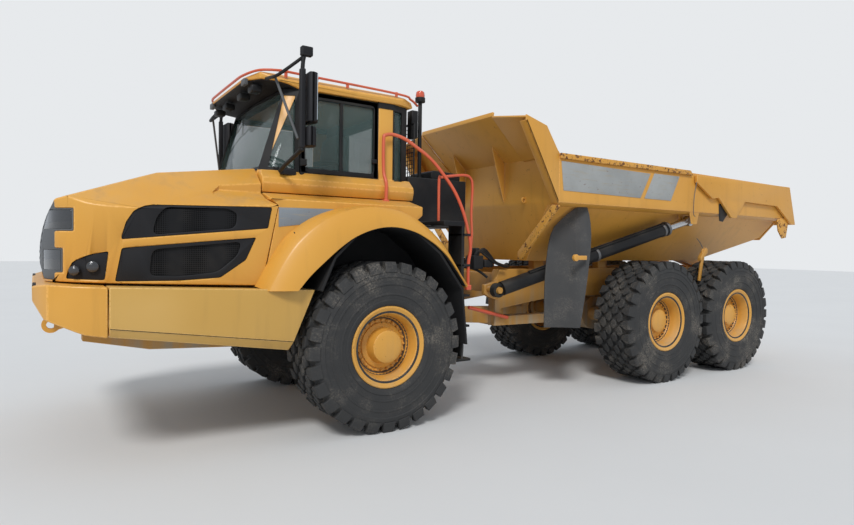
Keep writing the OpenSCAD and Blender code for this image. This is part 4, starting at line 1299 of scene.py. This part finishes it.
def add_seat():
    """Seat, dash and steering wheel, seen through the glass."""
    base = joined(block((-420, -230, 1906), (60, 230, 2290)), block((-400, -250, 2290), (40, 250, 2330)))
    finished("seat_base", base, PLASTIC, "tractor", 0.012, ["cab_interior"])
    cushion("seat_cushion", (-180, 0, 2395), (500, 500, 130))
    cushion("seat_back", (25, 0, 2690), (120, 480, 520), 6)
    cushion("head_rest", (55, 0, 2995), (80, 300, 130), 6)
    arms = on_both_sides(extruded(rounded_outline([(-300, 2560), (20, 2600), (20, 2640), (-300, 2610)],
            15), -300, -255))
    finished("arm_rests", arms, PLASTIC, "tractor", 0.008)
    dash = extruded([(-860, 2120), (-880, 2400), (-760, 2470), (-640, 2440), (-600, 2120)], -520, 520)
    finished("dash_panel", dash, PLASTIC, "tractor", 0.02, segments=3)
    wheel = bmesh.new()
    centre = mm(-540, 0, 2560)
    axis = Vector((0.45, 0, 0.89)).normalized()
    side = Vector((0, 1, 0))
    loop = [wheel.verts.new(centre + side * (0.205 + 0.015 * math.cos(a)) + axis * 0.015 * math.sin(a))
            for a in (k * math.tau / 8 for k in range(8))]
    edges = [wheel.edges.new((loop[k], loop[k - 1])) for k in range(8)]
    bmesh.ops.spin(wheel, geom=loop + edges, cent=centre, axis=axis, angle=math.tau, steps=32,
            use_merge=True)
    bmesh.ops.recalc_face_normals(wheel, faces=wheel.faces)
    hub = cylinder(0.05, -0.03, 0.02, centre, axis, 20)
    spoke = block((-18, -200, -6), (18, 200, 6))
    tilted = axis.to_track_quat("Z", "Y").to_matrix().to_4x4()
    turn = Matrix.Translation(centre) @ tilted @ Matrix.Translation(-mm(0, 0, 0))
    bmesh.ops.transform(spoke, matrix=turn, verts=spoke.verts)
    wheel = joined(wheel, hub, spoke)
    shade(wheel, wheel.faces[:])
    piece("steering_wheel", wheel, PLASTIC, "tractor")
    rod("steering_column", [(-700, 0, 2230), (-545, 0, 2550)], 28, PLASTIC, "tractor", smooth=False)


ROUNDED = {
    "bed": 0.007, "tailgate": 0.006, "cab_door": 0.004, "hitch": 0.006,
    "rear_frame": 0.006, "front_frame": 0.006, "fender_liners": 0.004, "rear_deck": 0.008,
}
for node, width in ROUNDED.items():
    rounded(node, width)
for node in NODES:
    if node.startswith("wheel_"):
        rounded(node, 0.004)

for add in (add_hood, add_fenders, add_cab, add_wheels, add_bumper, add_body, add_gate_apron, add_flaps,
        add_tractor_fittings, add_rigging, add_seat, add_camera, add_floor, add_light):
    add()
bpy.context.scene.view_settings.view_transform = "Standard"
